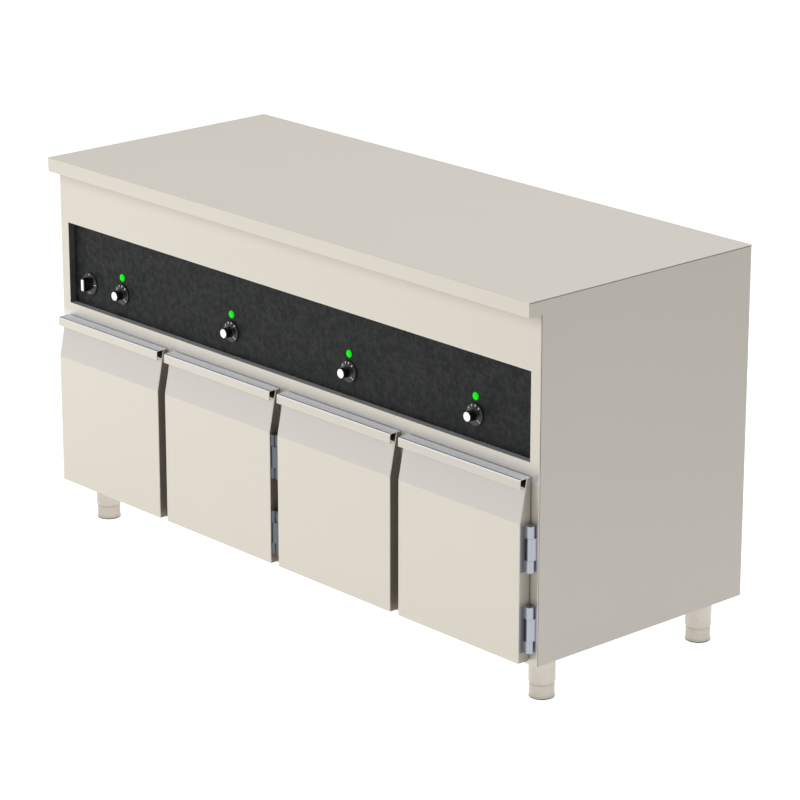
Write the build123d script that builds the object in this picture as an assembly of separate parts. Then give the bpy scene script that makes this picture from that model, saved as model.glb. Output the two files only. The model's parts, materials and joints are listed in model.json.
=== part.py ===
from build123d import *
from math import atan2, cos, degrees, pi, sin
import os

# Heated counter with four doors, in millimetres.
# X runs along the length, -Y is the front and +Z is up.
# The origin is the middle of the footprint, at floor level.

# Overall sizes
LENGTH = 1600.0
DEPTH = 650.0
HEIGHT = 890.0
FLOOR_GAP = 100.0
FRONT_OVERHANG = 32.0
BACK_OVERHANG = 1.0
CLEAR = 0.3
CUT_PAST = 1.0

# Flats round each round piece, so that what repeats stays light
WIDE_SIDES = 36
GRIP_SIDES = 24
SMALL_SIDES = 16
HIDDEN_SIDES = 8
NUT_SIDES = 6
BEND_STEPS = 6

# Sheet thicknesses and folded edges
TOP_SHEET = 1.5
FRONT_SHEET = 2.0
PANEL_SHEET = 1.5
LINER_SHEET = 1.2
FLANGE = 20.0
FRAME_RETURN = 18.0

# Worktop
LIP_HEIGHT = 33.0
BOARD_THICKNESS = 20.0
TOP_BEND = 1.4

# Doors
DOOR_COUNT = 4
DOOR_GAP = 26.0
DOOR_END_MARGIN = 22.0
DOOR_THICKNESS = 29.5
DOOR_SHEET = 1.2
DOOR_BOTTOM = 109.5
DOOR_TOP = 511.0
DOOR_EDGE_BEND = 2.0
DOOR_OVERLAP = 14.0
SLOPE_BOTTOM = 415.0
SLOPE_TOP_INSET = 13.0
HANDLE_SHEET = 1.5
HANDLE_LIP = 21.5
HANDLE_BEND = 5.0
HANDLE_HEM = 3.0
INNER_PAN_SHEET = 1.0
INNER_PAN_RETURN = 8.0
PRESSING_MARGIN = 40.0
PRESSING_HEIGHT = 4.0
GASKET_WIDTH = 9.0
GASKET_THICKNESS = 2.2
GASKET_SETBACK = 0.8

# Compartments
OPENING_BOTTOM = 126.0
OPENING_TOP = 490.0
BACK_INSULATION = 26.0
CEILING_INSULATION = 30.0
FLOOR_INSULATION = 14.0
BACK_PANEL_SHEET = 1.2
BACK_PANEL_INSET = 3.0
LOW_SHELF_LEVEL = 160.0
MIDDLE_SHELF_LEVEL = 320.0
SHELF_SHEET = 1.2
SHELF_SIDE_GAP = 1.5
SHELF_FRONT_GAP = 30.0
SHELF_BACK_GAP = 8.0
SHELF_EDGE = 12.0
SHELF_SLOTS = 6
SHELF_SLOT_WIDTH = 14.0
SHELF_SLOT_MARGIN = 45.0
RUNNER_SIZE = 14.0
RUNNER_SHEET = 1.5

# Recess and control panel
RECESS_SIDE_MARGIN = 27.0
RECESS_BOTTOM = 540.5
RECESS_TOP = 734.0
RECESS_DEPTH = 17.0
RECESS_SHEET = 1.5
CONTROL_SHEET = 2.0

# Controls
KNOB_RISE = 55.0
PILOT_RISE = 39.5
MAIN_SWITCH_INSET = 57.5
SPINDLE_RADIUS = 3.0
SPINDLE_DEPTH = 12.0
BUSH_RADIUS = 4.7
BUSH_LENGTH = 7.0
BUSH_HOLE_FIT = 0.2
SHAFT_FIT = 0.05
SKIRT_RADIUS = 24.5
SKIRT_FACE_RADIUS = 23.0
SKIRT_THICKNESS = 4.0
SKIRT_STANDOFF = 1.0
SKIRT_CAVITY_RADIUS = 8.0
SKIRT_CAVITY_DEPTH = 8.0
GRIP_RADIUS = 11.5
KNOB_LENGTH = 25.0
CAP_RADIUS = 10.2
CAP_THICKNESS = 1.5
PILOT_RADIUS = 8.5
PILOT_RIM = 1.2
PILOT_DOME = 2.0
PILOT_DOME_TAPER = 45.0
PILOT_BODY_RADIUS = 6.0
PILOT_BODY_LENGTH = 26.0
PILOT_NUT_RADIUS = 8.0
PILOT_NUT_LENGTH = 4.0
SWITCH_DISC_RADIUS = 26.0
SWITCH_DISC_THICKNESS = 3.0
SWITCH_GRIP_WIDTH = 13.0
SWITCH_GRIP_HEIGHT = 40.0
SWITCH_BAR_WIDTH = 8.0
SWITCH_BAR_HEIGHT = 27.0
THERMOSTAT_WIDTH = 44.0
THERMOSTAT_DEPTH = 30.0
THERMOSTAT_HEIGHT = 36.0
SWITCH_BODY_SIZE = 46.0
SWITCH_BODY_DEPTH = 42.0
BODY_EDGE = 3.0
TERMINAL_WIDTH = 6.3
TERMINAL_SHEET = 0.8
TERMINAL_LENGTH = 8.0
CAPILLARY_RADIUS = 1.2
CAPILLARY_OFFSET = 14.0
CAPILLARY_BEND = 10.0
CAPILLARY_HOLE = 5.0
BULB_RADIUS = 3.5
BULB_LENGTH = 90.0
BULB_DROP = 14.0
BULB_SETBACK = 24.0

# Hinges
LOW_HINGE_LEVEL = 132.5
HIGH_HINGE_LEVEL = 309.0
HINGE_LENGTH = 101.0
KNUCKLE_END = 26.0
KNUCKLE_GAP = 0.3
PIN_FIT = 0.05
LEAF_SETBACK = 1.2
END_AXIS = 10.4
END_BARREL = 8.2
END_LEAF = 1.8
END_PIN = 4.0
END_LEAF_MARGIN = 1.0
MIDDLE_AXIS_OUT = 5.4
MIDDLE_AXIS_IN = 7.2
MIDDLE_BARREL = 3.9
MIDDLE_LEAF = 1.2
MIDDLE_PIN = 2.0
MIDDLE_WEB = 3.2
MIDDLE_PLATE = 2.0
MIDDLE_PLATE_HALF = 11.4

# Legs
LEG_SIDE_INSET = 58.0
LEG_FRONT_INSET = 105.0
LEG_BACK_INSET = 70.0
SLEEVE_RADIUS = 28.8
SLEEVE_WALL = 1.5
SLEEVE_CAP = 3.0
SLEEVE_BOTTOM = 35.0
FOOT_TOP = 88.0
FOOT_PAD_RADIUS = 27.8
FOOT_PAD_HEIGHT = 4.0
STUD_RADIUS = 6.0
STUD_LENGTH = 6.0

# Heating elements
ELEMENT_RADIUS = 4.0
ELEMENT_RISE = 14.0
ELEMENT_HALF_SPAN = 70.0
ELEMENT_BEND = 60.0
ELEMENT_FRONT_GAP = 70.0
ELEMENT_FLANGE_WIDTH = 190.0
ELEMENT_FLANGE_HEIGHT = 22.0
ELEMENT_FLANGE_SHEET = 3.0

# Supply entry and back panel
GLAND_SIDE_INSET = 160.0
GLAND_BACK_INSET = 55.0
GLAND_THREAD_RADIUS = 10.0
GLAND_BORE_RADIUS = 5.5
GLAND_HEAD_RADIUS = 14.0
GLAND_NUT_LENGTH = 10.0
GLAND_HEAD_LENGTH = 16.0
GLAND_THREAD_LENGTH = 7.0
HOLE_FIT = 0.3
TERMINAL_BLOCK_WIDTH = 90.0
TERMINAL_BLOCK_DEPTH = 24.0
TERMINAL_BLOCK_HEIGHT = 22.0
TERMINAL_BLOCK_POLES = 5
TERMINAL_BLOCK_RIB = 5.0
TERMINAL_BLOCK_POCKET = 8.0
TERMINAL_BLOCK_LEVEL = 560.0
VENT_COLUMNS = 8
VENT_ROWS = 3
VENT_COLUMN_PITCH = 150.0
VENT_ROW_PITCH = 16.0
VENT_WIDTH = 90.0
VENT_HEIGHT = 6.0
VENT_DROP = 90.0
SCREW_RADIUS = 4.5
SCREW_HEAD = 1.8
SCREW_COLUMNS = 6
SCREW_EDGE = 10.0

# Places that follow from the sizes above
HALF = LENGTH / 2
TOP_FRONT = -DEPTH / 2
TOP_BACK = DEPTH / 2
FRAME_FRONT = TOP_FRONT + FRONT_OVERHANG
FRAME_BEHIND = FRAME_FRONT + FRONT_SHEET
RETURN_END = FRAME_BEHIND + FRAME_RETURN
SHEET_UNDER = HEIGHT - TOP_SHEET
BOARD_UNDER = SHEET_UNDER - BOARD_THICKNESS
NOSE_UNDER = HEIGHT - LIP_HEIGHT
SIDE_INNER = HALF - PANEL_SHEET
SIDE_BACK = TOP_BACK - BACK_OVERHANG
BACK_OUTER = SIDE_BACK - BACK_PANEL_INSET
BACK_INNER = BACK_OUTER - BACK_PANEL_SHEET
FLANGE_FRONT = BACK_INNER - PANEL_SHEET
LINER_BACK = FLANGE_FRONT - BACK_INSULATION
LINER_BACK_FACE = LINER_BACK - LINER_SHEET
LINER_START = RETURN_END + CLEAR
PAN_HALF = SIDE_INNER - FLANGE - CLEAR
CEILING_TOP = OPENING_TOP + LINER_SHEET
SLAB_TOP = CEILING_TOP + CEILING_INSULATION

DOOR_PITCH = (LENGTH - 2 * DOOR_END_MARGIN + DOOR_GAP) / DOOR_COUNT
DOOR_WIDTH = DOOR_PITCH - DOOR_GAP
DOOR_FRONT = TOP_FRONT
DOOR_BACK = DOOR_FRONT + DOOR_THICKNESS
DOOR_CENTRES = [(i - (DOOR_COUNT - 1) / 2) * DOOR_PITCH for i in range(DOOR_COUNT)]
HINGE_SIDES = [-1 if i % 2 == 0 else 1 for i in range(DOOR_COUNT)]
OPENING_WIDTH = DOOR_WIDTH - 2 * DOOR_OVERLAP
POST_WIDTH = DOOR_PITCH - OPENING_WIDTH
PARTITION_WIDTH = POST_WIDTH - 2 * (PANEL_SHEET + CLEAR)
POST_CENTRES = [c + DOOR_PITCH / 2 for c in DOOR_CENTRES[:-1]]
OPENINGS_EDGE = DOOR_CENTRES[-1] + OPENING_WIDTH / 2

RECESS_HALF = HALF - RECESS_SIDE_MARGIN
CONTROL_FACE = FRAME_FRONT + RECESS_DEPTH
CONTROL_BACK = CONTROL_FACE + CONTROL_SHEET
KNOB_FRONT = CONTROL_FACE - KNOB_LENGTH
KNOB_HEIGHT = RECESS_BOTTOM + KNOB_RISE
PILOT_HEIGHT = KNOB_HEIGHT + PILOT_RISE
SHELF_LEVELS = (LOW_SHELF_LEVEL, MIDDLE_SHELF_LEVEL)
HINGE_BOTTOMS = (LOW_HINGE_LEVEL, HIGH_HINGE_LEVEL)
VENT_LEVEL = HEIGHT - VENT_DROP
MAIN_SWITCH_X = -RECESS_HALF + MAIN_SWITCH_INSET
LEG_PLACES = [(sx * (HALF - LEG_SIDE_INSET), y) for sx in (-1, 1)
              for y in (TOP_FRONT + LEG_FRONT_INSET, TOP_BACK - LEG_BACK_INSET)]
GLAND_PLACE = (HALF - GLAND_SIDE_INSET, TOP_BACK - GLAND_BACK_INSET)


def block(x0, x1, y0, y1, z0, z1):
    """A rectangular block between two corners."""
    size = (abs(x1 - x0), abs(y1 - y0), abs(z1 - z0))
    return Pos((x0 + x1) / 2, (y0 + y1) / 2, (z0 + z1) / 2) * Box(*size)


def mirrored_block(side, x0, x1, y0, y1, z0, z1):
    """A block on the right for side +1, or its mirror image on the left for side -1."""
    return block(side * x0, side * x1, y0, y1, z0, z1)


def along_x(points, x0, x1):
    """A closed outline of (y, z) points carried along X."""
    outline = Plane.YZ.offset(x0) * Polygon(*points, align=None)
    return extrude(outline, x1 - x0, dir=(1, 0, 0))


def rod_y(x, z, radius, y0, y1, sides=SMALL_SIDES, taper=0.0):
    """A round bar along Y with many flats; its corners lie at the radius."""
    way = 1 if y1 > y0 else -1
    start = Plane(origin=(x, y0, z), x_dir=(1, 0, 0), z_dir=(0, way, 0))
    return extrude(start * RegularPolygon(radius, sides), abs(y1 - y0), taper=taper)


def rod_z(x, y, radius, z0, z1, sides=SMALL_SIDES):
    """A round bar along Z with many flats; its corners lie at the radius."""
    return extrude(Plane.XY.offset(min(z0, z1)) * Pos(x, y) * RegularPolygon(radius, sides), abs(z1 - z0))


def bore_radius(radius, sides=SMALL_SIDES):
    """Radius for a bore whose flats clear anything of the given radius that turns in it."""
    return radius / cos(pi / sides)


def turned_z(x, y, outline):
    """A piece turned about a Z axis through (x, y), from (radius, z) points."""
    return Pos(x, y, 0) * revolve(Plane.XZ * Polygon(*outline, align=None), Axis.Z)


def bend_points(before, corner, after, radius):
    """Points round a square corner of a route, in even steps on an arc of the given radius."""
    before, corner, after = Vector(*before), Vector(*corner), Vector(*after)
    towards = (before - corner).normalized() * radius
    onwards = (after - corner).normalized() * radius
    turns = [pi / 2 * step / BEND_STEPS for step in range(BEND_STEPS + 1)]
    return [corner + towards * (1 - sin(turn)) + onwards * (1 - cos(turn)) for turn in turns]


def bent_rod(points, bend, radius, sides=HIDDEN_SIDES):
    """A thin bar with flats that follows straight runs joined by square bends of one radius."""
    route = [Vector(*points[0])]
    for before, corner, after in zip(points, points[1:], points[2:]):
        route += bend_points(before, corner, after, bend)
    route.append(Vector(*points[-1]))
    path = Polyline(*route)
    section = Plane(origin=route[0], z_dir=route[1] - route[0]) * RegularPolygon(radius, sides)
    return sweep(section, path=path, transition=Transition.RIGHT)


# Worktop

def worktop_skin():
    """Top sheet with a folded front lip, its return under the overhang, and a back lip."""
    inner = SIDE_INNER - CLEAR
    skin = block(-HALF, HALF, TOP_FRONT, TOP_BACK, SHEET_UNDER, HEIGHT)
    skin += block(-inner, inner, TOP_FRONT, TOP_FRONT + TOP_SHEET, NOSE_UNDER, SHEET_UNDER)
    skin += block(-inner, inner, TOP_FRONT, FRAME_FRONT, NOSE_UNDER, NOSE_UNDER + TOP_SHEET)
    skin += block(-inner, inner, TOP_BACK - TOP_SHEET, TOP_BACK, BOARD_UNDER, SHEET_UNDER)
    front_edges = skin.edges().filter_by(Axis.X).group_by(Axis.Y)[0]
    return fillet(front_edges.sort_by(Axis.Z)[-1], TOP_BEND)


def worktop_board():
    """Stiffening board under the top sheet, from inside the lip to the back panel."""
    inner = SIDE_INNER - CLEAR
    return block(-inner, inner, TOP_FRONT + TOP_SHEET + CLEAR, BACK_OUTER, BOARD_UNDER, SHEET_UNDER)


# Outer casing

def side_panel(side):
    """End panel with a nose that closes the overhang, and flanges folded inwards."""
    front = FRAME_BEHIND + CLEAR
    outline = [(front, FLOOR_GAP), (SIDE_BACK, FLOOR_GAP), (SIDE_BACK, SHEET_UNDER),
               (TOP_FRONT, SHEET_UNDER), (TOP_FRONT, NOSE_UNDER), (front, NOSE_UNDER)]
    panel = along_x(outline, SIDE_INNER, HALF)
    edge = SIDE_INNER - FLANGE
    panel += block(edge, SIDE_INNER, RETURN_END + CLEAR, BACK_INNER, FLOOR_GAP, FLOOR_GAP + PANEL_SHEET)
    panel += block(edge, SIDE_INNER, FLANGE_FRONT, BACK_INNER, FLOOR_GAP, BOARD_UNDER)
    panel += block(edge, SIDE_INNER, RETURN_END, BACK_INNER, BOARD_UNDER - PANEL_SHEET, BOARD_UNDER)
    return panel if side > 0 else mirror(panel, Plane.YZ)


def back_panel():
    """Back sheet between the end panels, with rows of vent slots into the service space."""
    inner = SIDE_INNER - CLEAR
    panel = block(-inner, inner, BACK_INNER, BACK_OUTER, FLOOR_GAP, BOARD_UNDER)
    slot = Box(VENT_WIDTH, 4 * BACK_PANEL_SHEET, VENT_HEIGHT)
    slots = GridLocations(VENT_COLUMN_PITCH, VENT_ROW_PITCH, VENT_COLUMNS, VENT_ROWS)
    place = Plane(origin=(0, BACK_OUTER, VENT_LEVEL), x_dir=(1, 0, 0), z_dir=(0, -1, 0))
    for spot in slots:
        centre = place.from_local_coords(spot.position)
        panel -= Pos(centre.X, centre.Y, centre.Z) * slot
    return panel


def base_pan():
    """Bottom tray with turned-up edges, holes for the leg studs and the supply gland."""
    front = RETURN_END + CLEAR
    back = FLANGE_FRONT - CLEAR
    pan = block(-PAN_HALF, PAN_HALF, front, back, FLOOR_GAP, FLOOR_GAP + FLANGE / 2)
    pan -= block(-PAN_HALF + PANEL_SHEET, PAN_HALF - PANEL_SHEET, front + PANEL_SHEET, back - PANEL_SHEET,
                 FLOOR_GAP + PANEL_SHEET, FLOOR_GAP + FLANGE)
    for x, y in LEG_PLACES:
        pan -= rod_z(x, y, bore_radius(STUD_RADIUS + HOLE_FIT, HIDDEN_SIDES),
                     FLOOR_GAP - CUT_PAST, FLOOR_GAP + FLANGE, HIDDEN_SIDES)
    return pan - rod_z(*GLAND_PLACE, bore_radius(GLAND_THREAD_RADIUS + HOLE_FIT), FLOOR_GAP - CUT_PAST,
                       FLOOR_GAP + FLANGE)


# Front frame

def front_fascia():
    """Front sheet above the doors, folded back round the recess that holds the controls."""
    inner = SIDE_INNER - CLEAR
    fascia = block(-HALF, HALF, FRAME_FRONT, FRAME_BEHIND, OPENING_TOP, NOSE_UNDER)
    fascia += block(-inner, inner, FRAME_FRONT, FRAME_BEHIND, NOSE_UNDER, BOARD_UNDER)
    fascia += block(-RECESS_HALF - RECESS_SHEET, RECESS_HALF + RECESS_SHEET, FRAME_FRONT, CONTROL_FACE,
                    RECESS_BOTTOM - RECESS_SHEET, RECESS_TOP + RECESS_SHEET)
    fascia -= block(-RECESS_HALF, RECESS_HALF, FRAME_FRONT - CUT_PAST, CONTROL_FACE + CUT_PAST,
                    RECESS_BOTTOM, RECESS_TOP)
    return fascia + block(-OPENINGS_EDGE, OPENINGS_EDGE, FRAME_BEHIND, RETURN_END,
                          OPENING_TOP, OPENING_TOP + PANEL_SHEET)


def bottom_rail():
    """Front sheet below the doors, with returns at its top and bottom."""
    rail = block(-OPENINGS_EDGE, OPENINGS_EDGE, FRAME_FRONT, FRAME_BEHIND, FLOOR_GAP, OPENING_BOTTOM)
    for low in (FLOOR_GAP, OPENING_BOTTOM - PANEL_SHEET):
        rail += block(-OPENINGS_EDGE, OPENINGS_EDGE, FRAME_BEHIND, RETURN_END, low, low + PANEL_SHEET)
    return rail


def front_posts():
    """Upright between each pair of doors and at each end, folded into a channel or an angle."""
    posts = []
    for x in POST_CENTRES:
        half = POST_WIDTH / 2
        post = block(x - half, x + half, FRAME_FRONT, FRAME_BEHIND, OPENING_BOTTOM, OPENING_TOP)
        for edge in (x - half, x + half - PANEL_SHEET):
            post += block(edge, edge + PANEL_SHEET, FRAME_BEHIND, RETURN_END, OPENING_BOTTOM, OPENING_TOP)
        posts.append(post)
    for side in (-1, 1):
        post = mirrored_block(side, OPENINGS_EDGE, HALF, FRAME_FRONT, FRAME_BEHIND, FLOOR_GAP, OPENING_TOP)
        post += mirrored_block(side, OPENINGS_EDGE, OPENINGS_EDGE + PANEL_SHEET, FRAME_BEHIND, RETURN_END,
                               FLOOR_GAP, OPENING_TOP)
        posts.append(post)
    return posts


def door_gaskets():
    """Flat seal round each opening, on the face of the frame."""
    seals = []
    for x in DOOR_CENTRES:
        inner = OPENING_WIDTH / 2 + GASKET_SETBACK
        outer = inner + GASKET_WIDTH
        low, high = OPENING_BOTTOM - GASKET_SETBACK, OPENING_TOP + GASKET_SETBACK
        front = FRAME_FRONT - GASKET_THICKNESS
        seal = block(x - outer, x + outer, front, FRAME_FRONT, low - GASKET_WIDTH, high + GASKET_WIDTH)
        seals.append(seal - block(x - inner, x + inner, front - CUT_PAST, FRAME_FRONT + CUT_PAST, low, high))
    return seals


# Lining, partitions and insulation

def liner_back():
    """Inner back sheet behind all the compartments."""
    half = OPENINGS_EDGE + LINER_SHEET
    return block(-half, half, LINER_BACK_FACE, LINER_BACK, OPENING_BOTTOM - LINER_SHEET, CEILING_TOP)


def liner_floor():
    """Inner floor sheet, which starts behind the bottom rail's return."""
    half = OPENINGS_EDGE + LINER_SHEET
    return block(-half, half, LINER_START, LINER_BACK_FACE, OPENING_BOTTOM - LINER_SHEET, OPENING_BOTTOM)


def capillary_places():
    """Where each thermostat's capillary goes down through the ceiling."""
    return [(x + CAPILLARY_OFFSET, CONTROL_BACK + THERMOSTAT_DEPTH / 2) for x in DOOR_CENTRES]


def capillary_hole(x, y, low, high):
    """Square hole through a sheet or slab for one capillary."""
    half = CAPILLARY_HOLE / 2
    return block(x - half, x + half, y - half, y + half, low - CUT_PAST, high + CUT_PAST)


def liner_ceiling():
    """Inner ceiling sheet with a hole for each capillary."""
    half = OPENINGS_EDGE + LINER_SHEET
    sheet = block(-half, half, LINER_START, LINER_BACK_FACE, OPENING_TOP, CEILING_TOP)
    for x, y in capillary_places():
        sheet -= capillary_hole(x, y, OPENING_TOP, CEILING_TOP)
    return sheet


def liner_sides():
    """Inner side sheets of the two end compartments."""
    return [mirrored_block(side, OPENINGS_EDGE, OPENINGS_EDGE + LINER_SHEET, LINER_START, LINER_BACK_FACE,
                           OPENING_BOTTOM, OPENING_TOP) for side in (-1, 1)]


def partition_wall(x):
    """Folded sheet behind a middle post: two sides joined across the front, closed above and below."""
    half = PARTITION_WIDTH / 2
    wall = block(x - half, x + half, FRAME_BEHIND, LINER_BACK_FACE, OPENING_BOTTOM, OPENING_TOP)
    return wall - partition_core(x, FRAME_BEHIND + LINER_SHEET, LINER_BACK_FACE + CUT_PAST)


def partition_core(x, front, back):
    """The room inside a partition wall, from one Y to another."""
    half = PARTITION_WIDTH / 2 - LINER_SHEET
    return block(x - half, x + half, front, back, OPENING_BOTTOM + LINER_SHEET, OPENING_TOP - LINER_SHEET)


def insulation_slabs():
    """Mineral wool above, below, behind and at both ends of the compartments, and in the partitions."""
    edge = OPENINGS_EDGE + LINER_SHEET
    ceiling = block(-edge, edge, LINER_START, LINER_BACK_FACE, CEILING_TOP, SLAB_TOP)
    for x, y in capillary_places():
        ceiling -= capillary_hole(x, y, CEILING_TOP, SLAB_TOP)
    floor_top = OPENING_BOTTOM - LINER_SHEET
    floor = block(-edge, edge, LINER_START + PANEL_SHEET, LINER_BACK_FACE,
                  floor_top - FLOOR_INSULATION, floor_top)
    back = block(-edge, edge, LINER_BACK, FLANGE_FRONT, floor_top - FLOOR_INSULATION, SLAB_TOP)
    ends = [mirrored_block(side, edge, SIDE_INNER, LINER_START, LINER_BACK_FACE, OPENING_BOTTOM, SLAB_TOP)
            for side in (-1, 1)]
    cores = [partition_core(x, FRAME_BEHIND + LINER_SHEET, LINER_BACK_FACE) for x in POST_CENTRES]
    return [ceiling, floor, back] + ends + cores


# Shelves and heating

def compartment_walls(index):
    """X of the left and right walls that carry a compartment's runners."""
    x = DOOR_CENTRES[index]
    to_partition = (DOOR_PITCH - PARTITION_WIDTH) / 2
    left = -OPENINGS_EDGE if index == 0 else x - to_partition
    right = OPENINGS_EDGE if index == DOOR_COUNT - 1 else x + to_partition
    return left, right


def shelf_runners():
    """Angle on each side wall under each shelf."""
    runners = []
    for index in range(DOOR_COUNT):
        left, right = compartment_walls(index)
        for level in SHELF_LEVELS:
            top = level - SHELF_SHEET
            for wall, way in ((left, 1), (right, -1)):
                arm = block(wall, wall + way * RUNNER_SIZE, LINER_START, LINER_BACK_FACE,
                            top - RUNNER_SHEET, top)
                runners.append(arm + block(wall, wall + way * RUNNER_SHEET, LINER_START, LINER_BACK_FACE,
                                           top - RUNNER_SIZE, top))
    return runners


def shelf(x, level):
    """Slotted shelf with its front and back edges turned down."""
    half = OPENING_WIDTH / 2 - SHELF_SIDE_GAP
    front, back = RETURN_END + SHELF_FRONT_GAP, LINER_BACK_FACE - SHELF_BACK_GAP
    plate = block(x - half, x + half, front, back, level - SHELF_SHEET, level)
    edge_half = half - RUNNER_SIZE - SHELF_SIDE_GAP
    for y in (front, back - SHELF_SHEET):
        plate += block(x - edge_half, x + edge_half, y, y + SHELF_SHEET, level - SHELF_EDGE, level)
    pitch = 2 * edge_half / SHELF_SLOTS
    for i in range(SHELF_SLOTS):
        centre = x + (i - (SHELF_SLOTS - 1) / 2) * pitch
        plate -= block(centre - SHELF_SLOT_WIDTH / 2, centre + SHELF_SLOT_WIDTH / 2,
                       front + SHELF_SLOT_MARGIN, back - SHELF_SLOT_MARGIN, level - SHELF_EDGE, level + CUT_PAST)
    return plate


def shelves():
    """A low and a middle shelf in each compartment."""
    return [shelf(x, level) for x in DOOR_CENTRES for level in SHELF_LEVELS]


def heating_element(x):
    """Hairpin rod under the low shelf, with the flange that holds it to the back."""
    z = OPENING_BOTTOM + ELEMENT_RISE
    front = RETURN_END + ELEMENT_FRONT_GAP
    back = LINER_BACK_FACE - ELEMENT_FLANGE_SHEET
    left, right = x - ELEMENT_HALF_SPAN, x + ELEMENT_HALF_SPAN
    corners = [(left, back, z), (left, front, z), (right, front, z), (right, back, z)]
    rod = bent_rod(corners, ELEMENT_BEND, ELEMENT_RADIUS)
    half = ELEMENT_FLANGE_WIDTH / 2
    return rod + block(x - half, x + half, back, LINER_BACK_FACE,
                       z - ELEMENT_FLANGE_HEIGHT / 2, z + ELEMENT_FLANGE_HEIGHT / 2)


# Doors

def door_skin(x):
    """Outer tray of a door: upright front, sloping top, and a hooked handle along the top edge."""
    half = DOOR_WIDTH / 2
    top = DOOR_TOP - HANDLE_SHEET
    slope_top = FRAME_FRONT - SLOPE_TOP_INSET
    outline = [(DOOR_BACK, DOOR_BOTTOM), (DOOR_FRONT, DOOR_BOTTOM), (DOOR_FRONT, SLOPE_BOTTOM),
               (slope_top, top), (DOOR_BACK, top)]
    body = along_x(outline, x - half, x + half)
    front_edges = body.edges().filter_by(Axis.Z).group_by(Axis.Y)[0]
    body = fillet(front_edges, DOOR_EDGE_BEND)
    body = offset(body, amount=-DOOR_SHEET, openings=body.faces().sort_by(Axis.Y)[-1])
    return body + handle(x)


def handle(x):
    """Folded sheet along the door's top: flat top, round bend, lip and hem."""
    half = DOOR_WIDTH / 2
    inner = DOOR_FRONT + HANDLE_SHEET
    low = DOOR_TOP - HANDLE_LIP
    under = DOOR_TOP - HANDLE_SHEET
    outline = Polygon((DOOR_BACK, DOOR_TOP), (DOOR_FRONT, DOOR_TOP), (DOOR_FRONT, low),
                      (inner + HANDLE_HEM, low), (inner + HANDLE_HEM, low + HANDLE_SHEET),
                      (inner, low + HANDLE_SHEET), (inner, under), (DOOR_BACK, under), align=None)
    outer_corner = outline.vertices().filter_by(lambda v: v.X < DOOR_FRONT + 0.1 and v.Y > DOOR_TOP - 0.1)
    outline = fillet(outer_corner, HANDLE_BEND)
    inner_corner = outline.vertices().filter_by(lambda v: abs(v.X - inner) < 0.1 and abs(v.Y - under) < 0.1)
    outline = fillet(inner_corner, HANDLE_BEND - HANDLE_SHEET)
    return extrude(Plane.YZ.offset(x - half) * outline, DOOR_WIDTH, dir=(1, 0, 0))


def door_inner_pan(x):
    """Inner sheet of a door, with returns into the outer tray and a raised middle."""
    gap = DOOR_SHEET + CLEAR / 2
    half = DOOR_WIDTH / 2 - gap
    low, high = DOOR_BOTTOM + gap, DOOR_TOP - HANDLE_SHEET - gap
    back = DOOR_BACK
    front = back - INNER_PAN_RETURN
    pan = block(x - half, x + half, front, back, low, high)
    sheet = INNER_PAN_SHEET
    pan -= block(x - half + sheet, x + half - sheet, front - CUT_PAST, back - sheet, low + sheet, high - sheet)
    margin = PRESSING_MARGIN
    pan += block(x - half + margin, x + half - margin, back - sheet, back + PRESSING_HEIGHT,
                 low + margin, high - margin)
    inset = margin + sheet
    return pan - block(x - half + inset, x + half - inset, back - sheet - CUT_PAST,
                       back + PRESSING_HEIGHT - sheet, low + inset, high - inset)


# Hinges

def is_end_door(index):
    """True where the hinge is at an end of the counter, not in the middle gap."""
    return index in (0, DOOR_COUNT - 1)


def hinge_axis(index):
    """X and Y of a door's hinge line."""
    side = HINGE_SIDES[index]
    edge = DOOR_CENTRES[index] + side * DOOR_WIDTH / 2
    if is_end_door(index):
        return edge + side * END_AXIS, FRAME_FRONT - END_AXIS
    return edge + side * MIDDLE_AXIS_OUT, DOOR_FRONT + MIDDLE_AXIS_IN


def hinge_sizes(index):
    """Barrel radius, leaf thickness and pin radius of a door's hinges."""
    if is_end_door(index):
        return END_BARREL, END_LEAF, END_PIN
    return MIDDLE_BARREL, MIDDLE_LEAF, MIDDLE_PIN


def door_hinge_leaves(index):
    """Leaf on the door's side with the top and bottom knuckle, at both hinges."""
    side = HINGE_SIDES[index]
    edge = DOOR_CENTRES[index] + side * DOOR_WIDTH / 2
    axis_x, axis_y = hinge_axis(index)
    barrel, leaf, pin = hinge_sizes(index)
    leaves = []
    for low in HINGE_BOTTOMS:
        high = low + HINGE_LENGTH
        piece = block(edge, edge + side * leaf, DOOR_FRONT + DOOR_EDGE_BEND + LEAF_SETBACK, DOOR_BACK, low, high)
        for start, end in ((low, low + KNUCKLE_END), (high - KNUCKLE_END, high)):
            piece += rod_z(axis_x, axis_y, barrel, start, end)
            piece += block(edge, axis_x, axis_y - barrel, axis_y, start, end)
        bore = rod_z(axis_x, axis_y, bore_radius(pin + PIN_FIT), low - CUT_PAST, high + CUT_PAST)
        leaves.append(piece - bore)
    return leaves


def end_frame_leaf(side, low):
    """Leaf on an end post with the middle knuckle."""
    index = 0 if side < 0 else DOOR_COUNT - 1
    axis_x, axis_y = hinge_axis(index)
    high = low + HINGE_LENGTH
    start, end = low + KNUCKLE_END + KNUCKLE_GAP, high - KNUCKLE_END - KNUCKLE_GAP
    leaf = block(axis_x, side * (HALF - END_LEAF_MARGIN), FRAME_FRONT - END_LEAF, FRAME_FRONT, low, high)
    leaf += rod_z(axis_x, axis_y, END_BARREL, start, end)
    leaf += block(axis_x, axis_x + side * END_BARREL, axis_y, FRAME_FRONT, start, end)
    return leaf - rod_z(axis_x, axis_y, bore_radius(END_PIN + PIN_FIT), start - CUT_PAST, end + CUT_PAST)


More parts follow.
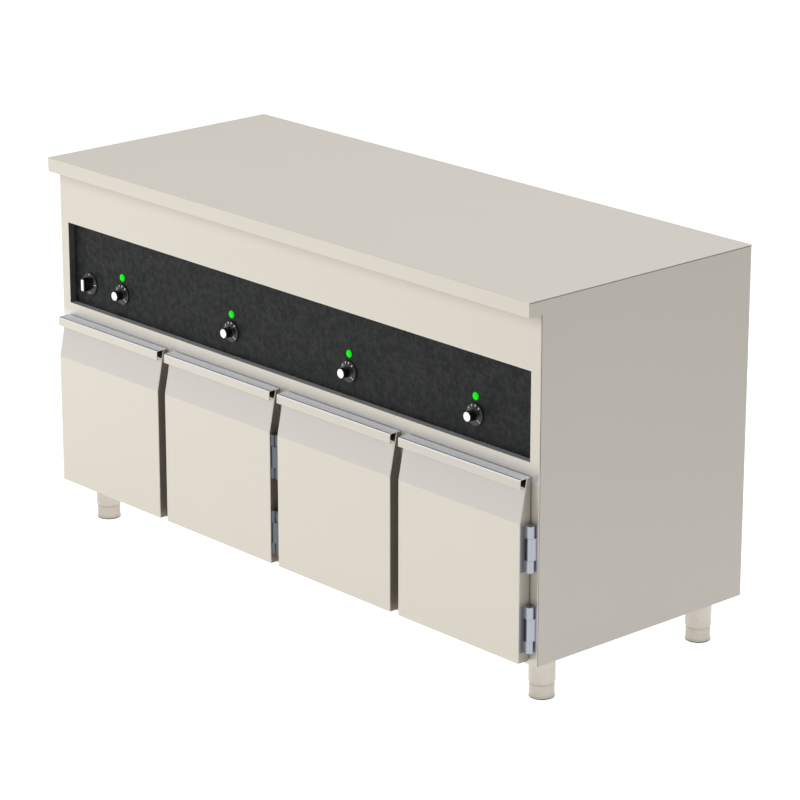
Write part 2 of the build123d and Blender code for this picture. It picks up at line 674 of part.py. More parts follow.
def middle_frame_bracket(low):
    """Plate on the middle post, a web in the gap, and the middle knuckles of two doors."""
    middle = DOOR_COUNT // 2
    axes = [hinge_axis(middle - 1), hinge_axis(middle)]
    axis_y = axes[0][1]
    x = (axes[0][0] + axes[1][0]) / 2
    high = low + HINGE_LENGTH
    start, end = low + KNUCKLE_END + KNUCKLE_GAP, high - KNUCKLE_END - KNUCKLE_GAP
    plate_face = FRAME_FRONT - MIDDLE_PLATE
    bracket = block(x - MIDDLE_PLATE_HALF, x + MIDDLE_PLATE_HALF, plate_face, FRAME_FRONT, low, high)
    bracket += block(x - MIDDLE_WEB, x + MIDDLE_WEB, axis_y, plate_face, low, high)
    bracket += block(axes[0][0], axes[1][0], axis_y - MIDDLE_BARREL, axis_y, start, end)
    for axis_x, _ in axes:
        bracket += rod_z(axis_x, axis_y, MIDDLE_BARREL, start, end)
    for axis_x, _ in axes:
        bracket -= rod_z(axis_x, axis_y, bore_radius(MIDDLE_PIN + PIN_FIT),
                         start - CUT_PAST, end + CUT_PAST)
    return bracket


def frame_hinge_leaves():
    """The frame's side of every hinge."""
    ends = [end_frame_leaf(side, low) for side in (-1, 1) for low in HINGE_BOTTOMS]
    return ends + [middle_frame_bracket(low) for low in HINGE_BOTTOMS]


def hinge_pins():
    """A pin through each hinge."""
    return [rod_z(*hinge_axis(index), hinge_sizes(index)[2], low, low + HINGE_LENGTH)
            for index in range(DOOR_COUNT) for low in HINGE_BOTTOMS]


# Controls

def control_panel():
    """Plate that closes the recess, with holes for the lamps, thermostats and main switch."""
    panel = block(-RECESS_HALF - RECESS_SHEET, RECESS_HALF + RECESS_SHEET, CONTROL_FACE, CONTROL_BACK,
                  RECESS_BOTTOM - RECESS_SHEET, RECESS_TOP + RECESS_SHEET)
    reach = (CONTROL_FACE - CUT_PAST, CONTROL_BACK + CUT_PAST)
    for x in DOOR_CENTRES + [MAIN_SWITCH_X]:
        panel -= rod_y(x, KNOB_HEIGHT, bore_radius(BUSH_RADIUS + BUSH_HOLE_FIT), *reach)
    for x in DOOR_CENTRES:
        panel -= rod_y(x, PILOT_HEIGHT, bore_radius(PILOT_BODY_RADIUS + BUSH_HOLE_FIT), *reach)
    return panel


def shaft_end():
    """Y of a spindle's inner end, inside the body that it turns in."""
    return CONTROL_BACK + SPINDLE_DEPTH


def switch_housing(x, width, depth, height):
    """Moulded body behind the panel, with a bush through it and push-on terminals behind."""
    back = CONTROL_BACK + depth
    body = block(x - width / 2, x + width / 2, CONTROL_BACK, back,
                 KNOB_HEIGHT - height / 2, KNOB_HEIGHT + height / 2)
    body = chamfer(body.edges().filter_by(Axis.Y), BODY_EDGE)
    body += rod_y(x, KNOB_HEIGHT, BUSH_RADIUS, CONTROL_BACK - BUSH_LENGTH, CONTROL_BACK)
    for way in (-1, 1):
        centre = x + way * width / 4
        body += block(centre - TERMINAL_WIDTH / 2, centre + TERMINAL_WIDTH / 2, back, back + TERMINAL_LENGTH,
                      KNOB_HEIGHT, KNOB_HEIGHT + TERMINAL_SHEET)
    return body - rod_y(x, KNOB_HEIGHT, bore_radius(SPINDLE_RADIUS + SHAFT_FIT),
                        CONTROL_BACK - BUSH_LENGTH - CUT_PAST, shaft_end())


def thermostat(index):
    """Thermostat body with its capillary and the bulb under the compartment's ceiling."""
    body = switch_housing(DOOR_CENTRES[index], THERMOSTAT_WIDTH, THERMOSTAT_DEPTH, THERMOSTAT_HEIGHT)
    x, y = capillary_places()[index]
    level = OPENING_TOP - BULB_DROP
    start = KNOB_HEIGHT - THERMOSTAT_HEIGHT / 2
    points = [(x, y, start), (x, y, level), (x, y + BULB_SETBACK, level)]
    tube = bent_rod(points, CAPILLARY_BEND, CAPILLARY_RADIUS)
    bulb = rod_y(x, level, BULB_RADIUS, y + BULB_SETBACK, y + BULB_SETBACK + BULB_LENGTH, HIDDEN_SIDES)
    return body + tube + bulb


def pilot_lens(x):
    """Domed lens with a rim that rests on the panel."""
    rim_face = CONTROL_FACE - PILOT_RIM
    rim = rod_y(x, PILOT_HEIGHT, PILOT_RADIUS, CONTROL_FACE, rim_face, GRIP_SIDES)
    dome_top = rim_face - PILOT_DOME
    return rim + rod_y(x, PILOT_HEIGHT, PILOT_RADIUS, rim_face, dome_top, GRIP_SIDES, PILOT_DOME_TAPER)


def pilot_housing(x):
    """Lamp body through the panel, with its nut behind."""
    body = rod_y(x, PILOT_HEIGHT, PILOT_BODY_RADIUS, CONTROL_FACE, CONTROL_FACE + PILOT_BODY_LENGTH)
    nut_end = CONTROL_BACK + PILOT_NUT_LENGTH
    return body + rod_y(x, PILOT_HEIGHT, PILOT_NUT_RADIUS, CONTROL_BACK, nut_end, NUT_SIDES)


def knob_body(x):
    """Round knob: a coned skirt over the bush, a plain grip, and a bore for the spindle."""
    base = CONTROL_FACE - SKIRT_STANDOFF
    skirt_face = base - SKIRT_THICKNESS
    cap_seat = KNOB_FRONT + CAP_THICKNESS
    cone = degrees(atan2(SKIRT_RADIUS - SKIRT_FACE_RADIUS, SKIRT_THICKNESS))
    knob = rod_y(x, KNOB_HEIGHT, SKIRT_RADIUS, base, skirt_face, WIDE_SIDES, cone)
    knob += rod_y(x, KNOB_HEIGHT, GRIP_RADIUS, skirt_face, KNOB_FRONT, GRIP_SIDES)
    knob -= rod_y(x, KNOB_HEIGHT, SKIRT_CAVITY_RADIUS, base + CUT_PAST, base - SKIRT_CAVITY_DEPTH)
    knob -= rod_y(x, KNOB_HEIGHT, SPINDLE_RADIUS + SHAFT_FIT, base, cap_seat - CUT_PAST)
    return knob - rod_y(x, KNOB_HEIGHT, CAP_RADIUS, KNOB_FRONT - CUT_PAST, cap_seat, GRIP_SIDES)


def knob_cap(x):
    """Disc set into the knob's front."""
    return rod_y(x, KNOB_HEIGHT, CAP_RADIUS - SHAFT_FIT, KNOB_FRONT, KNOB_FRONT + CAP_THICKNESS, GRIP_SIDES)


def spindle(x):
    """Thermostat's shaft, from its body to just behind the knob's cap."""
    return rod_y(x, KNOB_HEIGHT, SPINDLE_RADIUS, KNOB_FRONT + CAP_THICKNESS + CLEAR, shaft_end() - CLEAR)


def main_switch_knob():
    """Round base with an upright bar grip and a short shaft behind."""
    base = CONTROL_FACE - SKIRT_STANDOFF
    disc_face = base - SWITCH_DISC_THICKNESS
    bush_room = CONTROL_BACK - BUSH_LENGTH - CLEAR
    half = SWITCH_GRIP_WIDTH / 2
    grip = block(MAIN_SWITCH_X - half, MAIN_SWITCH_X + half, KNOB_FRONT + CAP_THICKNESS, disc_face,
                 KNOB_HEIGHT - SWITCH_GRIP_HEIGHT / 2, KNOB_HEIGHT + SWITCH_GRIP_HEIGHT / 2)
    grip = fillet(grip.edges().filter_by(Axis.Y), half * 0.9)
    knob = rod_y(MAIN_SWITCH_X, KNOB_HEIGHT, SWITCH_DISC_RADIUS, disc_face, base, WIDE_SIDES) + grip
    knob -= rod_y(MAIN_SWITCH_X, KNOB_HEIGHT, bore_radius(BUSH_RADIUS + CLEAR), bush_room, base + CUT_PAST)
    return knob + rod_y(MAIN_SWITCH_X, KNOB_HEIGHT, SPINDLE_RADIUS, bush_room - CLEAR, shaft_end() - CLEAR)


def main_switch_bar():
    """Pale pointer bar set on the grip."""
    half = SWITCH_BAR_WIDTH / 2
    bar = block(MAIN_SWITCH_X - half, MAIN_SWITCH_X + half, KNOB_FRONT, KNOB_FRONT + CAP_THICKNESS,
                KNOB_HEIGHT - SWITCH_BAR_HEIGHT / 2, KNOB_HEIGHT + SWITCH_BAR_HEIGHT / 2)
    return fillet(bar.edges().filter_by(Axis.Y), half * 0.8)


def terminal_block():
    """Supply terminals on the inside of the back panel, one rib between poles."""
    x = GLAND_PLACE[0]
    half = TERMINAL_BLOCK_WIDTH / 2
    front = BACK_INNER - TERMINAL_BLOCK_DEPTH
    body = block(x - half, x + half, front, BACK_INNER,
                 TERMINAL_BLOCK_LEVEL, TERMINAL_BLOCK_LEVEL + TERMINAL_BLOCK_HEIGHT)
    pitch = TERMINAL_BLOCK_WIDTH / TERMINAL_BLOCK_POLES
    pocket = (pitch - TERMINAL_BLOCK_RIB) / 2
    for i in range(TERMINAL_BLOCK_POLES):
        centre = x - half + (i + 0.5) * pitch
        body -= block(centre - pocket, centre + pocket, front - CUT_PAST, front + TERMINAL_BLOCK_POCKET,
                      TERMINAL_BLOCK_LEVEL - CUT_PAST, TERMINAL_BLOCK_LEVEL + TERMINAL_BLOCK_HEIGHT + CUT_PAST)
    return body


def cable_gland():
    """Supply entry in the base: a six-sided nut and a neck below the pan, a thread through it, and a bore."""
    head_low = FLOOR_GAP - GLAND_HEAD_LENGTH
    thread_top = FLOOR_GAP + GLAND_THREAD_LENGTH
    outline = [(GLAND_BORE_RADIUS, head_low), (GLAND_THREAD_RADIUS, head_low),
               (GLAND_THREAD_RADIUS, thread_top), (GLAND_BORE_RADIUS, thread_top)]
    nut = rod_z(*GLAND_PLACE, GLAND_HEAD_RADIUS, FLOOR_GAP - GLAND_NUT_LENGTH, FLOOR_GAP, NUT_SIDES)
    nut -= rod_z(*GLAND_PLACE, GLAND_BORE_RADIUS + CLEAR, head_low, thread_top)
    return nut + turned_z(*GLAND_PLACE, outline)


def back_panel_screws():
    """Screw heads along the top and bottom of the back panel."""
    heads = []
    span = 2 * (SIDE_INNER - SCREW_EDGE)
    for i in range(SCREW_COLUMNS):
        x = -span / 2 + i * span / (SCREW_COLUMNS - 1)
        for z in (FLOOR_GAP + SCREW_EDGE, BOARD_UNDER - SCREW_EDGE):
            heads.append(rod_y(x, z, SCREW_RADIUS, BACK_OUTER, BACK_OUTER + SCREW_HEAD, NUT_SIDES))
    return heads


# Legs

def leg_sleeve(x, y):
    """Tube under the base pan, closed at the top, with a stud through the pan."""
    sleeve = rod_z(x, y, SLEEVE_RADIUS, SLEEVE_BOTTOM, FLOOR_GAP, WIDE_SIDES)
    sleeve -= rod_z(x, y, SLEEVE_RADIUS - SLEEVE_WALL, SLEEVE_BOTTOM - CUT_PAST, FLOOR_GAP - SLEEVE_CAP,
                    WIDE_SIDES)
    return sleeve + rod_z(x, y, STUD_RADIUS, FLOOR_GAP, FLOOR_GAP + STUD_LENGTH, HIDDEN_SIDES)


def levelling_foot(x, y):
    """Foot that slides in the sleeve, with a wider pad on the floor."""
    column = SLEEVE_RADIUS - SLEEVE_WALL - CLEAR
    pad = rod_z(x, y, FOOT_PAD_RADIUS, 0, FOOT_PAD_HEIGHT, WIDE_SIDES)
    return pad + rod_z(x, y, column, FOOT_PAD_HEIGHT, FOOT_TOP, WIDE_SIDES)


def numbered(name, maker, items):
    """One entry per item, numbered from 1 at the left."""
    return {f"{name}_{i + 1}": maker(item) for i, item in enumerate(items)}


def make_parts():
    """Every piece of the counter by name; a list is a group of like pieces."""
    parts = {
        "worktop_skin": worktop_skin(),
        "worktop_board": worktop_board(),
        "side_panel_left": side_panel(-1),
        "side_panel_right": side_panel(1),
        "back_panel": back_panel(),
        "base_pan": base_pan(),
        "front_fascia": front_fascia(),
        "bottom_rail": bottom_rail(),
        "front_posts": front_posts(),
        "door_gaskets": door_gaskets(),
        "liner_back": liner_back(),
        "liner_floor": liner_floor(),
        "liner_ceiling": liner_ceiling(),
        "liner_sides": liner_sides(),
        "partition_walls": [partition_wall(x) for x in POST_CENTRES],
        "insulation_slabs": insulation_slabs(),
        "shelf_runners": shelf_runners(),
        "shelves": shelves(),
        "heating_elements": [heating_element(x) for x in DOOR_CENTRES],
        "frame_hinge_leaves": frame_hinge_leaves(),
        "hinge_pins": hinge_pins(),
        "control_panel": control_panel(),
        "thermostats": [thermostat(i) for i in range(DOOR_COUNT)],
        "pilot_lenses": [pilot_lens(x) for x in DOOR_CENTRES],
        "pilot_housings": [pilot_housing(x) for x in DOOR_CENTRES],
        "main_switch_body": switch_housing(MAIN_SWITCH_X, SWITCH_BODY_SIZE, SWITCH_BODY_DEPTH, SWITCH_BODY_SIZE),
        "main_switch_knob": main_switch_knob(),
        "main_switch_bar": main_switch_bar(),
        "terminal_block": terminal_block(),
        "cable_gland": cable_gland(),
        "back_panel_screws": back_panel_screws(),
        "leg_sleeves": [leg_sleeve(*place) for place in LEG_PLACES],
    }
    parts |= numbered("door_skin", door_skin, DOOR_CENTRES)
    parts |= numbered("door_inner_pan", door_inner_pan, DOOR_CENTRES)
    parts |= numbered("door_hinge_leaves", door_hinge_leaves, range(DOOR_COUNT))
    parts |= numbered("knob_body", knob_body, DOOR_CENTRES)
    parts |= numbered("knob_cap", knob_cap, DOOR_CENTRES)
    parts |= numbered("spindle", spindle, DOOR_CENTRES)
    parts |= numbered("levelling_foot", lambda place: levelling_foot(*place), LEG_PLACES)
    return parts


os.makedirs("parts", exist_ok=True)
for name, piece in make_parts().items():
    if isinstance(piece, list):
        piece = Compound(piece)
    export_step(piece, f"parts/{name}.step")
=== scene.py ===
"""Looks of a heated counter with four doors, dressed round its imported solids.

Lengths are in metres. X runs along the counter, -Y is its front and +Z is up.
"""

import json
import logging
import math
from dataclasses import dataclass, field
from enum import Enum
from typing import Any, Callable, Sequence

import bmesh
import bpy
import numpy as np
from mathutils import Matrix, Vector

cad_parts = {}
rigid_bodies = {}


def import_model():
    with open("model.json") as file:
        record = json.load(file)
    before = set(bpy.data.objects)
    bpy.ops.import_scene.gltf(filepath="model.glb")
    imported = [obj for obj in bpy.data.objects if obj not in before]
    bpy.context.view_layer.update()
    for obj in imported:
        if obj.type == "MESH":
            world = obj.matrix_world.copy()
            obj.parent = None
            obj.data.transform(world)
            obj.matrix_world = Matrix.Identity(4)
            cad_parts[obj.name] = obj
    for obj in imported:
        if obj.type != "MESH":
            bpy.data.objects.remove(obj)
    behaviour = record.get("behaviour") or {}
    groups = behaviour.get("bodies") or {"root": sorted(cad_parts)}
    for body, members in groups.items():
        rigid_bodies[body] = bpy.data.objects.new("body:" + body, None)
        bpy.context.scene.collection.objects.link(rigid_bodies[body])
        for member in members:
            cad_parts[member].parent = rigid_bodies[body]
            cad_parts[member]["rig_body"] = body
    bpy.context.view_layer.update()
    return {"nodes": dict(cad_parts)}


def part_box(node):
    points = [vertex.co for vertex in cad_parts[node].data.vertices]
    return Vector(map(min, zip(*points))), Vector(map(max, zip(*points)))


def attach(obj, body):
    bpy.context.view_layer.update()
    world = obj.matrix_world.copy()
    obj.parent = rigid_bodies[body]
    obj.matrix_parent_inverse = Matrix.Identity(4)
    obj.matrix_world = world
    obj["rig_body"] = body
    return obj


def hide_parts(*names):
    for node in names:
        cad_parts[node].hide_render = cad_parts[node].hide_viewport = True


LOG = logging.getLogger("counter")
CABINET = "cabinet"
DOORS = 4
FEET = 4

# Places where a finish changes tone: end panels' joints, painted shadow under the lip, painted reflection
# above the handles, painted shade in their hollows
SEAM_SIDE = 0.7994
SEAM_TOP = 0.8868
SEAM_CORNER = -0.2896
LIP_LOW = 0.857
HANDLE_PAINTED_REFLECTION_TOP = 0.527
HANDLE_PAINTED_REFLECTION_REACH = 0.03
HOLLOW_LOW = 0.4905

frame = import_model()

Colour = tuple[float, float, float]


def linear(red: int, green: int, blue: int) -> Colour:
    """Turn a screen's red, green and blue of 0 to 255 into linear values from 0 to 1."""
    shares = [value / 255 for value in (red, green, blue)]
    toe, slope, power = 0.04045, 12.92, 2.4
    return tuple(s / slope if s <= toe else ((s + 0.055) / 1.055) ** power for s in shares)


class Sheen(Enum):
    """Which way the fine lines of a brushed sheet run."""

    ALONG = (1.5, 60.0, 900.0)
    UPRIGHT = (900.0, 60.0, 1.5)


def set_stops(node: bpy.types.Node, stops: Sequence[tuple[float, Colour]]) -> None:
    """Give a colour ramp its stops in order."""
    elements = node.color_ramp.elements
    while len(elements) < len(stops):
        elements.new(1.0)
    for element, (place, colour) in zip(elements, stops):
        element.position = place
        element.color = (*colour, 1.0)


def add_node(tree: bpy.types.NodeTree, kind: str, settings: dict[str, Any],
             inputs: dict[Any, Any]) -> bpy.types.Node:
    """Make one node.

    Args:
        tree: The node tree that gets it.
        kind: Blender's name for the node's type.
        settings: Properties set first; stops is a ramp's list of (place, colour).
        inputs: Values or links by the socket's name or number.

    Returns:
        The new node.
    """
    node = tree.nodes.new(kind)
    for name, value in settings.items():
        if name == "stops":
            set_stops(node, value)
        else:
            setattr(node, name, value)
    for key, value in inputs.items():
        source = value.socket if isinstance(value, Value) else value
        if isinstance(source, bpy.types.NodeSocket):
            tree.links.new(source, node.inputs[key])
        else:
            node.inputs[key].default_value = source
    return node


def both_ways(operation: str) -> tuple[Callable[..., "Value"], Callable[..., "Value"]]:
    """Make an operator's two methods, for a number on its right and for one on its left."""
    return (lambda value, other: value.math(operation, value, other),
            lambda value, other: value.math(operation, other, value))


class Value:
    """A number in a shader that Python arithmetic can use; each operator adds a Math node."""

    def __init__(self, shader: "Shader", socket: bpy.types.NodeSocket) -> None:
        """Keep the shader that owns the socket and the socket itself."""
        self.shader = shader
        self.socket = socket

    def math(self, operation: str, first: Any, second: Any) -> "Value":
        """Add one Math node on two values, either of which may be a plain number."""
        node = self.shader.node("ShaderNodeMath", {"operation": operation}, {0: first, 1: second})
        return Value(self.shader, node.outputs[0])

    __add__, __radd__ = both_ways("ADD")
    __sub__, __rsub__ = both_ways("SUBTRACT")
    __mul__, __rmul__ = both_ways("MULTIPLY")
    __truediv__ = both_ways("DIVIDE")[0]

    def above(self, other: Any) -> "Value":
        """1 where this is greater, otherwise 0."""
        return self.math("GREATER_THAN", self, other)

    def below(self, other: Any) -> "Value":
        """1 where this is less, otherwise 0."""
        return self.math("LESS_THAN", self, other)

    def size(self) -> "Value":
        """This value without its sign."""
        return self.math("ABSOLUTE", self, 0.0)


class Shader:
    """One material under construction, with a single way to make a node."""

    def __init__(self, name: str) -> None:
        """Start an empty material with a Principled surface."""
        self.material = bpy.data.materials.new(name)
        self.material.use_nodes = True
        self.tree = self.material.node_tree
        self.tree.nodes.clear()
        self.surface = self.node("ShaderNodeBsdfPrincipled", {}, {})
        output = self.node("ShaderNodeOutputMaterial", {}, {})
        self.tree.links.new(self.surface.outputs[0], output.inputs[0])
        self.place = self.node("ShaderNodeTexCoord", {}, {}).outputs["Object"]
        parts = self.node("ShaderNodeSeparateXYZ", {}, {0: self.place})
        self.x, self.y, self.z = (Value(self, output) for output in parts.outputs)

    def node(self, kind: str, settings: dict[str, Any], inputs: dict[Any, Any]) -> bpy.types.Node:
        """Add a node to this material, as add_node does."""
        return add_node(self.tree, kind, settings, inputs)

    def noise(self, scale: Sequence[float], detail: float = 2.0, roughness: float = 0.5) -> Value:
        """Noise in object space, from 0 to 1 about a middle of one half.

        Args:
            scale: Repeats per metre along X, Y and Z.
            detail: Octaves of finer noise.
            roughness: How strong the finer octaves are.

        Returns:
            The noise as a value.
        """
        spread = self.node("ShaderNodeMapping", {}, {"Vector": self.place, "Scale": tuple(scale)})
        texture = self.node("ShaderNodeTexNoise", {}, {
            "Vector": spread.outputs[0], "Scale": 1.0, "Detail": detail, "Roughness": roughness})
        return Value(self, texture.outputs[0])

    def upward(self) -> Value:
        """How far the face looks up, from -1 to 1."""
        facing = self.node("ShaderNodeNewGeometry", {}, {}).outputs["Normal"]
        return Value(self, self.node("ShaderNodeSeparateXYZ", {}, {0: facing}).outputs[2])

    def mix(self, share: Any, first: Any, second: Any) -> bpy.types.NodeSocket:
        """Blend two colours.

        Args:
            share: From 0, the first, to 1, the second.
            first: A colour or a colour socket.
            second: A colour or a colour socket.

        Returns:
            The blended colour's socket.
        """
        ends = [(*c, 1.0) if isinstance(c, tuple) else c for c in (first, second)]
        node = self.node("ShaderNodeMix", {"data_type": "RGBA"}, {0: share, 6: ends[0], 7: ends[1]})
        return node.outputs[2]

    def set(self, **inputs: Any) -> None:
        """Set the surface's sockets by name, with underscores for spaces."""
        for name, value in inputs.items():
            socket = self.surface.inputs[name.replace("_", " ")]
            source = value.socket if isinstance(value, Value) else value
            if isinstance(source, bpy.types.NodeSocket):
                self.tree.links.new(source, socket)
            else:
                socket.default_value = (*source, 1.0) if isinstance(source, tuple) else source

    def bump(self, height: Value, strength: float, distance: float) -> None:
        """Raise the surface by a height from 0 to 1.

        Args:
            height: The height's value.
            strength: How far the shading follows it.
            distance: The height of 1, in metres.
        """
        node = self.node("ShaderNodeBump", {}, {"Strength": strength, "Distance": distance, "Height": height})
        self.set(Normal=node.outputs[0])


@dataclass(frozen=True)
class SheetSteel:
    """Satin stainless sheet: fine brushed lines, a slow drift of tone and faint handling marks, and where
    asked dark joints, painted shade in the handles' hollows, a painted reflection above the handles and a
    painted shadow under the worktop's lip.
    """

    name: str
    tone: Colour
    shade: Colour
    sheen: Sheen = Sheen.ALONG
    metallic: float = 0.45
    roughness: float = 0.38
    grain: float = 0.00002
    seams: bool = False
    shaded_above: float = 0.0
    painted_reflection_below: float = 0.0
    painted_reflection_band: float = 0.016
    painted_shadow_top: float = 0.0
    painted_shadow_band: float = 0.045

    def _seam(self, shader: Shader) -> Value:
        """1 on the end panels' thin joints under the top sheet and behind the front corner."""
        outside = shader.x.size().above(SEAM_SIDE)
        top = shader.z.above(SEAM_TOP)
        corner = shader.y.below(SEAM_CORNER) * shader.z.below(LIP_LOW)
        return outside * (top + corner - top * corner)

    def build(self) -> bpy.types.Material:
        """Make and return the material."""
        shader = Shader(self.name)
        lines = shader.noise(self.sheen.value, 3.0, 0.6)
        drift = shader.noise((1.3, 1.3, 1.7), 1.0)
        marks = shader.noise((14.0, 14.0, 14.0), 4.0, 0.7)
        share = 0.42 * lines + 0.35 * drift + 0.15 * marks
        tone = shader.mix(share, self.shade, self.tone)
        if self.seams:
            tone = shader.mix(self._seam(shader), tone, linear(104, 99, 92))
        # Painted shade: darker above a height, inside the handles' hollows
        if self.shaded_above:
            tone = shader.mix(shader.z.above(self.shaded_above), tone, linear(44, 41, 38))
        # Painted reflection: a pale band just above the handles' tops, fading upwards
        if self.painted_reflection_below:
            share = (self.painted_reflection_below - shader.z) / self.painted_reflection_band
            tone = shader.mix(share * shader.z.above(self.painted_reflection_below - HANDLE_PAINTED_REFLECTION_REACH), tone,
                              linear(234, 232, 230))
        # Painted shadow: darker towards the worktop's lip, under its overhang
        if self.painted_shadow_top:
            start = self.painted_shadow_top - self.painted_shadow_band
            lip_shadow_share = (shader.z - start) / self.painted_shadow_band
            tone = shader.mix(0.6 * lip_shadow_share * lip_shadow_share * shader.z.above(start), tone, linear(140, 134, 124))
        shader.set(Base_Color=tone)
        shader.set(Roughness=self.roughness - 0.05 + 0.1 * lines + 0.05 * (marks - 0.5))
        shader.set(Metallic=self.metallic)
        shader.bump(lines, 0.25, self.grain)
        return shader.material


@dataclass(frozen=True)
class PolishedBendPaintedReflections:
    """Polished folded handle: painted cool light on top, a painted dark reflection and a painted highlight
    round the bend, warm in front.
    """

    name: str
    front: Colour
    top: Colour
    metallic: float = 0.1
    roughness: float = 0.34

    def build(self) -> bpy.types.Material:
        """Make and return the material."""
        shader = Shader(self.name)
        # Painted highlight (bright), painted dark reflection (dark) and painted cool light on top, chosen by
        # how far each face looks up
        bright, dark, none = linear(255, 255, 255), linear(84, 84, 88), (0.0, 0.0, 0.0)
        rise = shader.upward()
        ramp = shader.node("ShaderNodeValToRGB", {"stops": [
            (0.0, self.front), (0.16, self.front), (0.26, bright), (0.76, bright), (0.83, dark), (0.95, dark),
            (0.975, self.top), (1.0, self.top)]}, {0: rise})
        polish = shader.node("ShaderNodeValToRGB", {"stops": [
            (0.0, none), (0.18, none), (0.28, (1.0, 1.0, 1.0)), (0.76, (1.0, 1.0, 1.0)), (0.81, none),
            (1.0, none)]}, {0: rise})
        polished = Value(shader, polish.outputs[0])
        lines = shader.noise(Sheen.ALONG.value, 3.0, 0.6)
        shader.set(Base_Color=shader.mix(0.1 * lines, ramp.outputs[0], linear(150, 148, 144)))
        shader.set(Roughness=self.roughness - 0.05 + 0.1 * lines - 0.2 * polished)
        shader.set(Metallic=self.metallic + 0.85 * polished)
        shader.set(Specular_IOR_Level=0.2)
        shader.bump(lines, 0.2, 0.00001)
        return shader.material


@dataclass(frozen=True)
class DarkEnamel:
    """Matt dark coating on the control panel, mottled, with a dark line in the shade of its upper edge."""

    name: str
    dark: Colour
    light: Colour
    shaded: float = 0.733
    roughness: float = 0.55
    specular: float = 0.15

    def build(self) -> bpy.types.Material:
        """Make and return the material."""
        shader = Shader(self.name)
        shader.set(Specular_IOR_Level=self.specular)
        clouds = shader.noise((85.0, 85.0, 85.0), 5.0, 0.75)
        drift = shader.noise((18.0, 18.0, 18.0), 2.0)
        tooth = shader.noise((420.0, 420.0, 420.0), 2.0)
        share = 4.0 * clouds - 1.85 + 0.5 * drift + 0.25 * (tooth - 0.5)
        tone = shader.mix(share, self.dark, self.light)
        shader.set(Base_Color=shader.mix(shader.z.above(self.shaded), tone, linear(14, 12, 11)))
        shader.set(Roughness=self.roughness + 0.2 * (tooth - 0.5))
        shader.bump(tooth, 0.3, 0.00005)
        return shader.material


@dataclass(frozen=True)
class Moulding:
    """Moulded plastic, rubber or ceramic with a fine tooth and a slight unevenness of tone."""

    name: str
    tone: Colour
    roughness: float = 0.45
    tooth: float = 0.00004
    glow: float = 0.0
    specular: float = 0.5

    def build(self) -> bpy.types.Material:
        """Make and return the material."""
        shader = Shader(self.name)
        fine = shader.noise((700.0, 700.0, 700.0), 2.0)
        wide = shader.noise((35.0, 35.0, 35.0), 2.0)
        deeper = tuple(0.86 * part for part in self.tone)
        shader.set(Base_Color=shader.mix(0.6 * fine + 0.4 * wide, deeper, self.tone))
        shader.set(Roughness=self.roughness + 0.12 * (fine - 0.5))
        shader.set(Specular_IOR_Level=self.specular)
        shader.bump(fine, 0.35, self.tooth)
        # Glow: painted light on the caps and marks, and the lit lamp's own light on the pilot lens
        if self.glow:
            shader.set(Emission_Color=self.tone, Emission_Strength=self.glow)
        return shader.material


@dataclass(frozen=True)
class WorkedMetal:
    """Turned, plated or sheathed metal with faint tool marks round it."""

    name: str
    tone: Colour
    roughness: float = 0.3
    metallic: float = 0.9
    marks: tuple[float, float, float] = (120.0, 120.0, 900.0)

    def build(self) -> bpy.types.Material:
        """Make and return the material."""
        shader = Shader(self.name)
        rings = shader.noise(self.marks, 2.0)
        smudge = shader.noise((45.0, 45.0, 45.0), 3.0)
        deeper = tuple(0.8 * part for part in self.tone)
        shader.set(Base_Color=shader.mix(0.5 * rings + 0.5 * smudge, deeper, self.tone))
        shader.set(Roughness=self.roughness + 0.12 * (smudge - 0.5))
        shader.set(Metallic=self.metallic)
        shader.bump(rings, 0.25, 0.00003)
        return shader.material


@dataclass(frozen=True)
class MineralWool:
    """Pressed mineral wool: tangled light and dark fibres."""

    name: str
    dark: Colour
    light: Colour

    def build(self) -> bpy.types.Material:
        """Make and return the material."""
        shader = Shader(self.name)
        fibres = shader.noise((160.0, 160.0, 520.0), 5.0, 0.75)
        shader.set(Base_Color=shader.mix(2.0 * fibres - 0.5, self.dark, self.light))
        shader.set(Roughness=0.9 + 0.1 * (fibres - 0.5))
        shader.bump(fibres, 0.7, 0.0006)
        return shader.material


STEEL_TONE = linear(226, 220, 209)
STEEL_SHADE = linear(217, 210, 198)

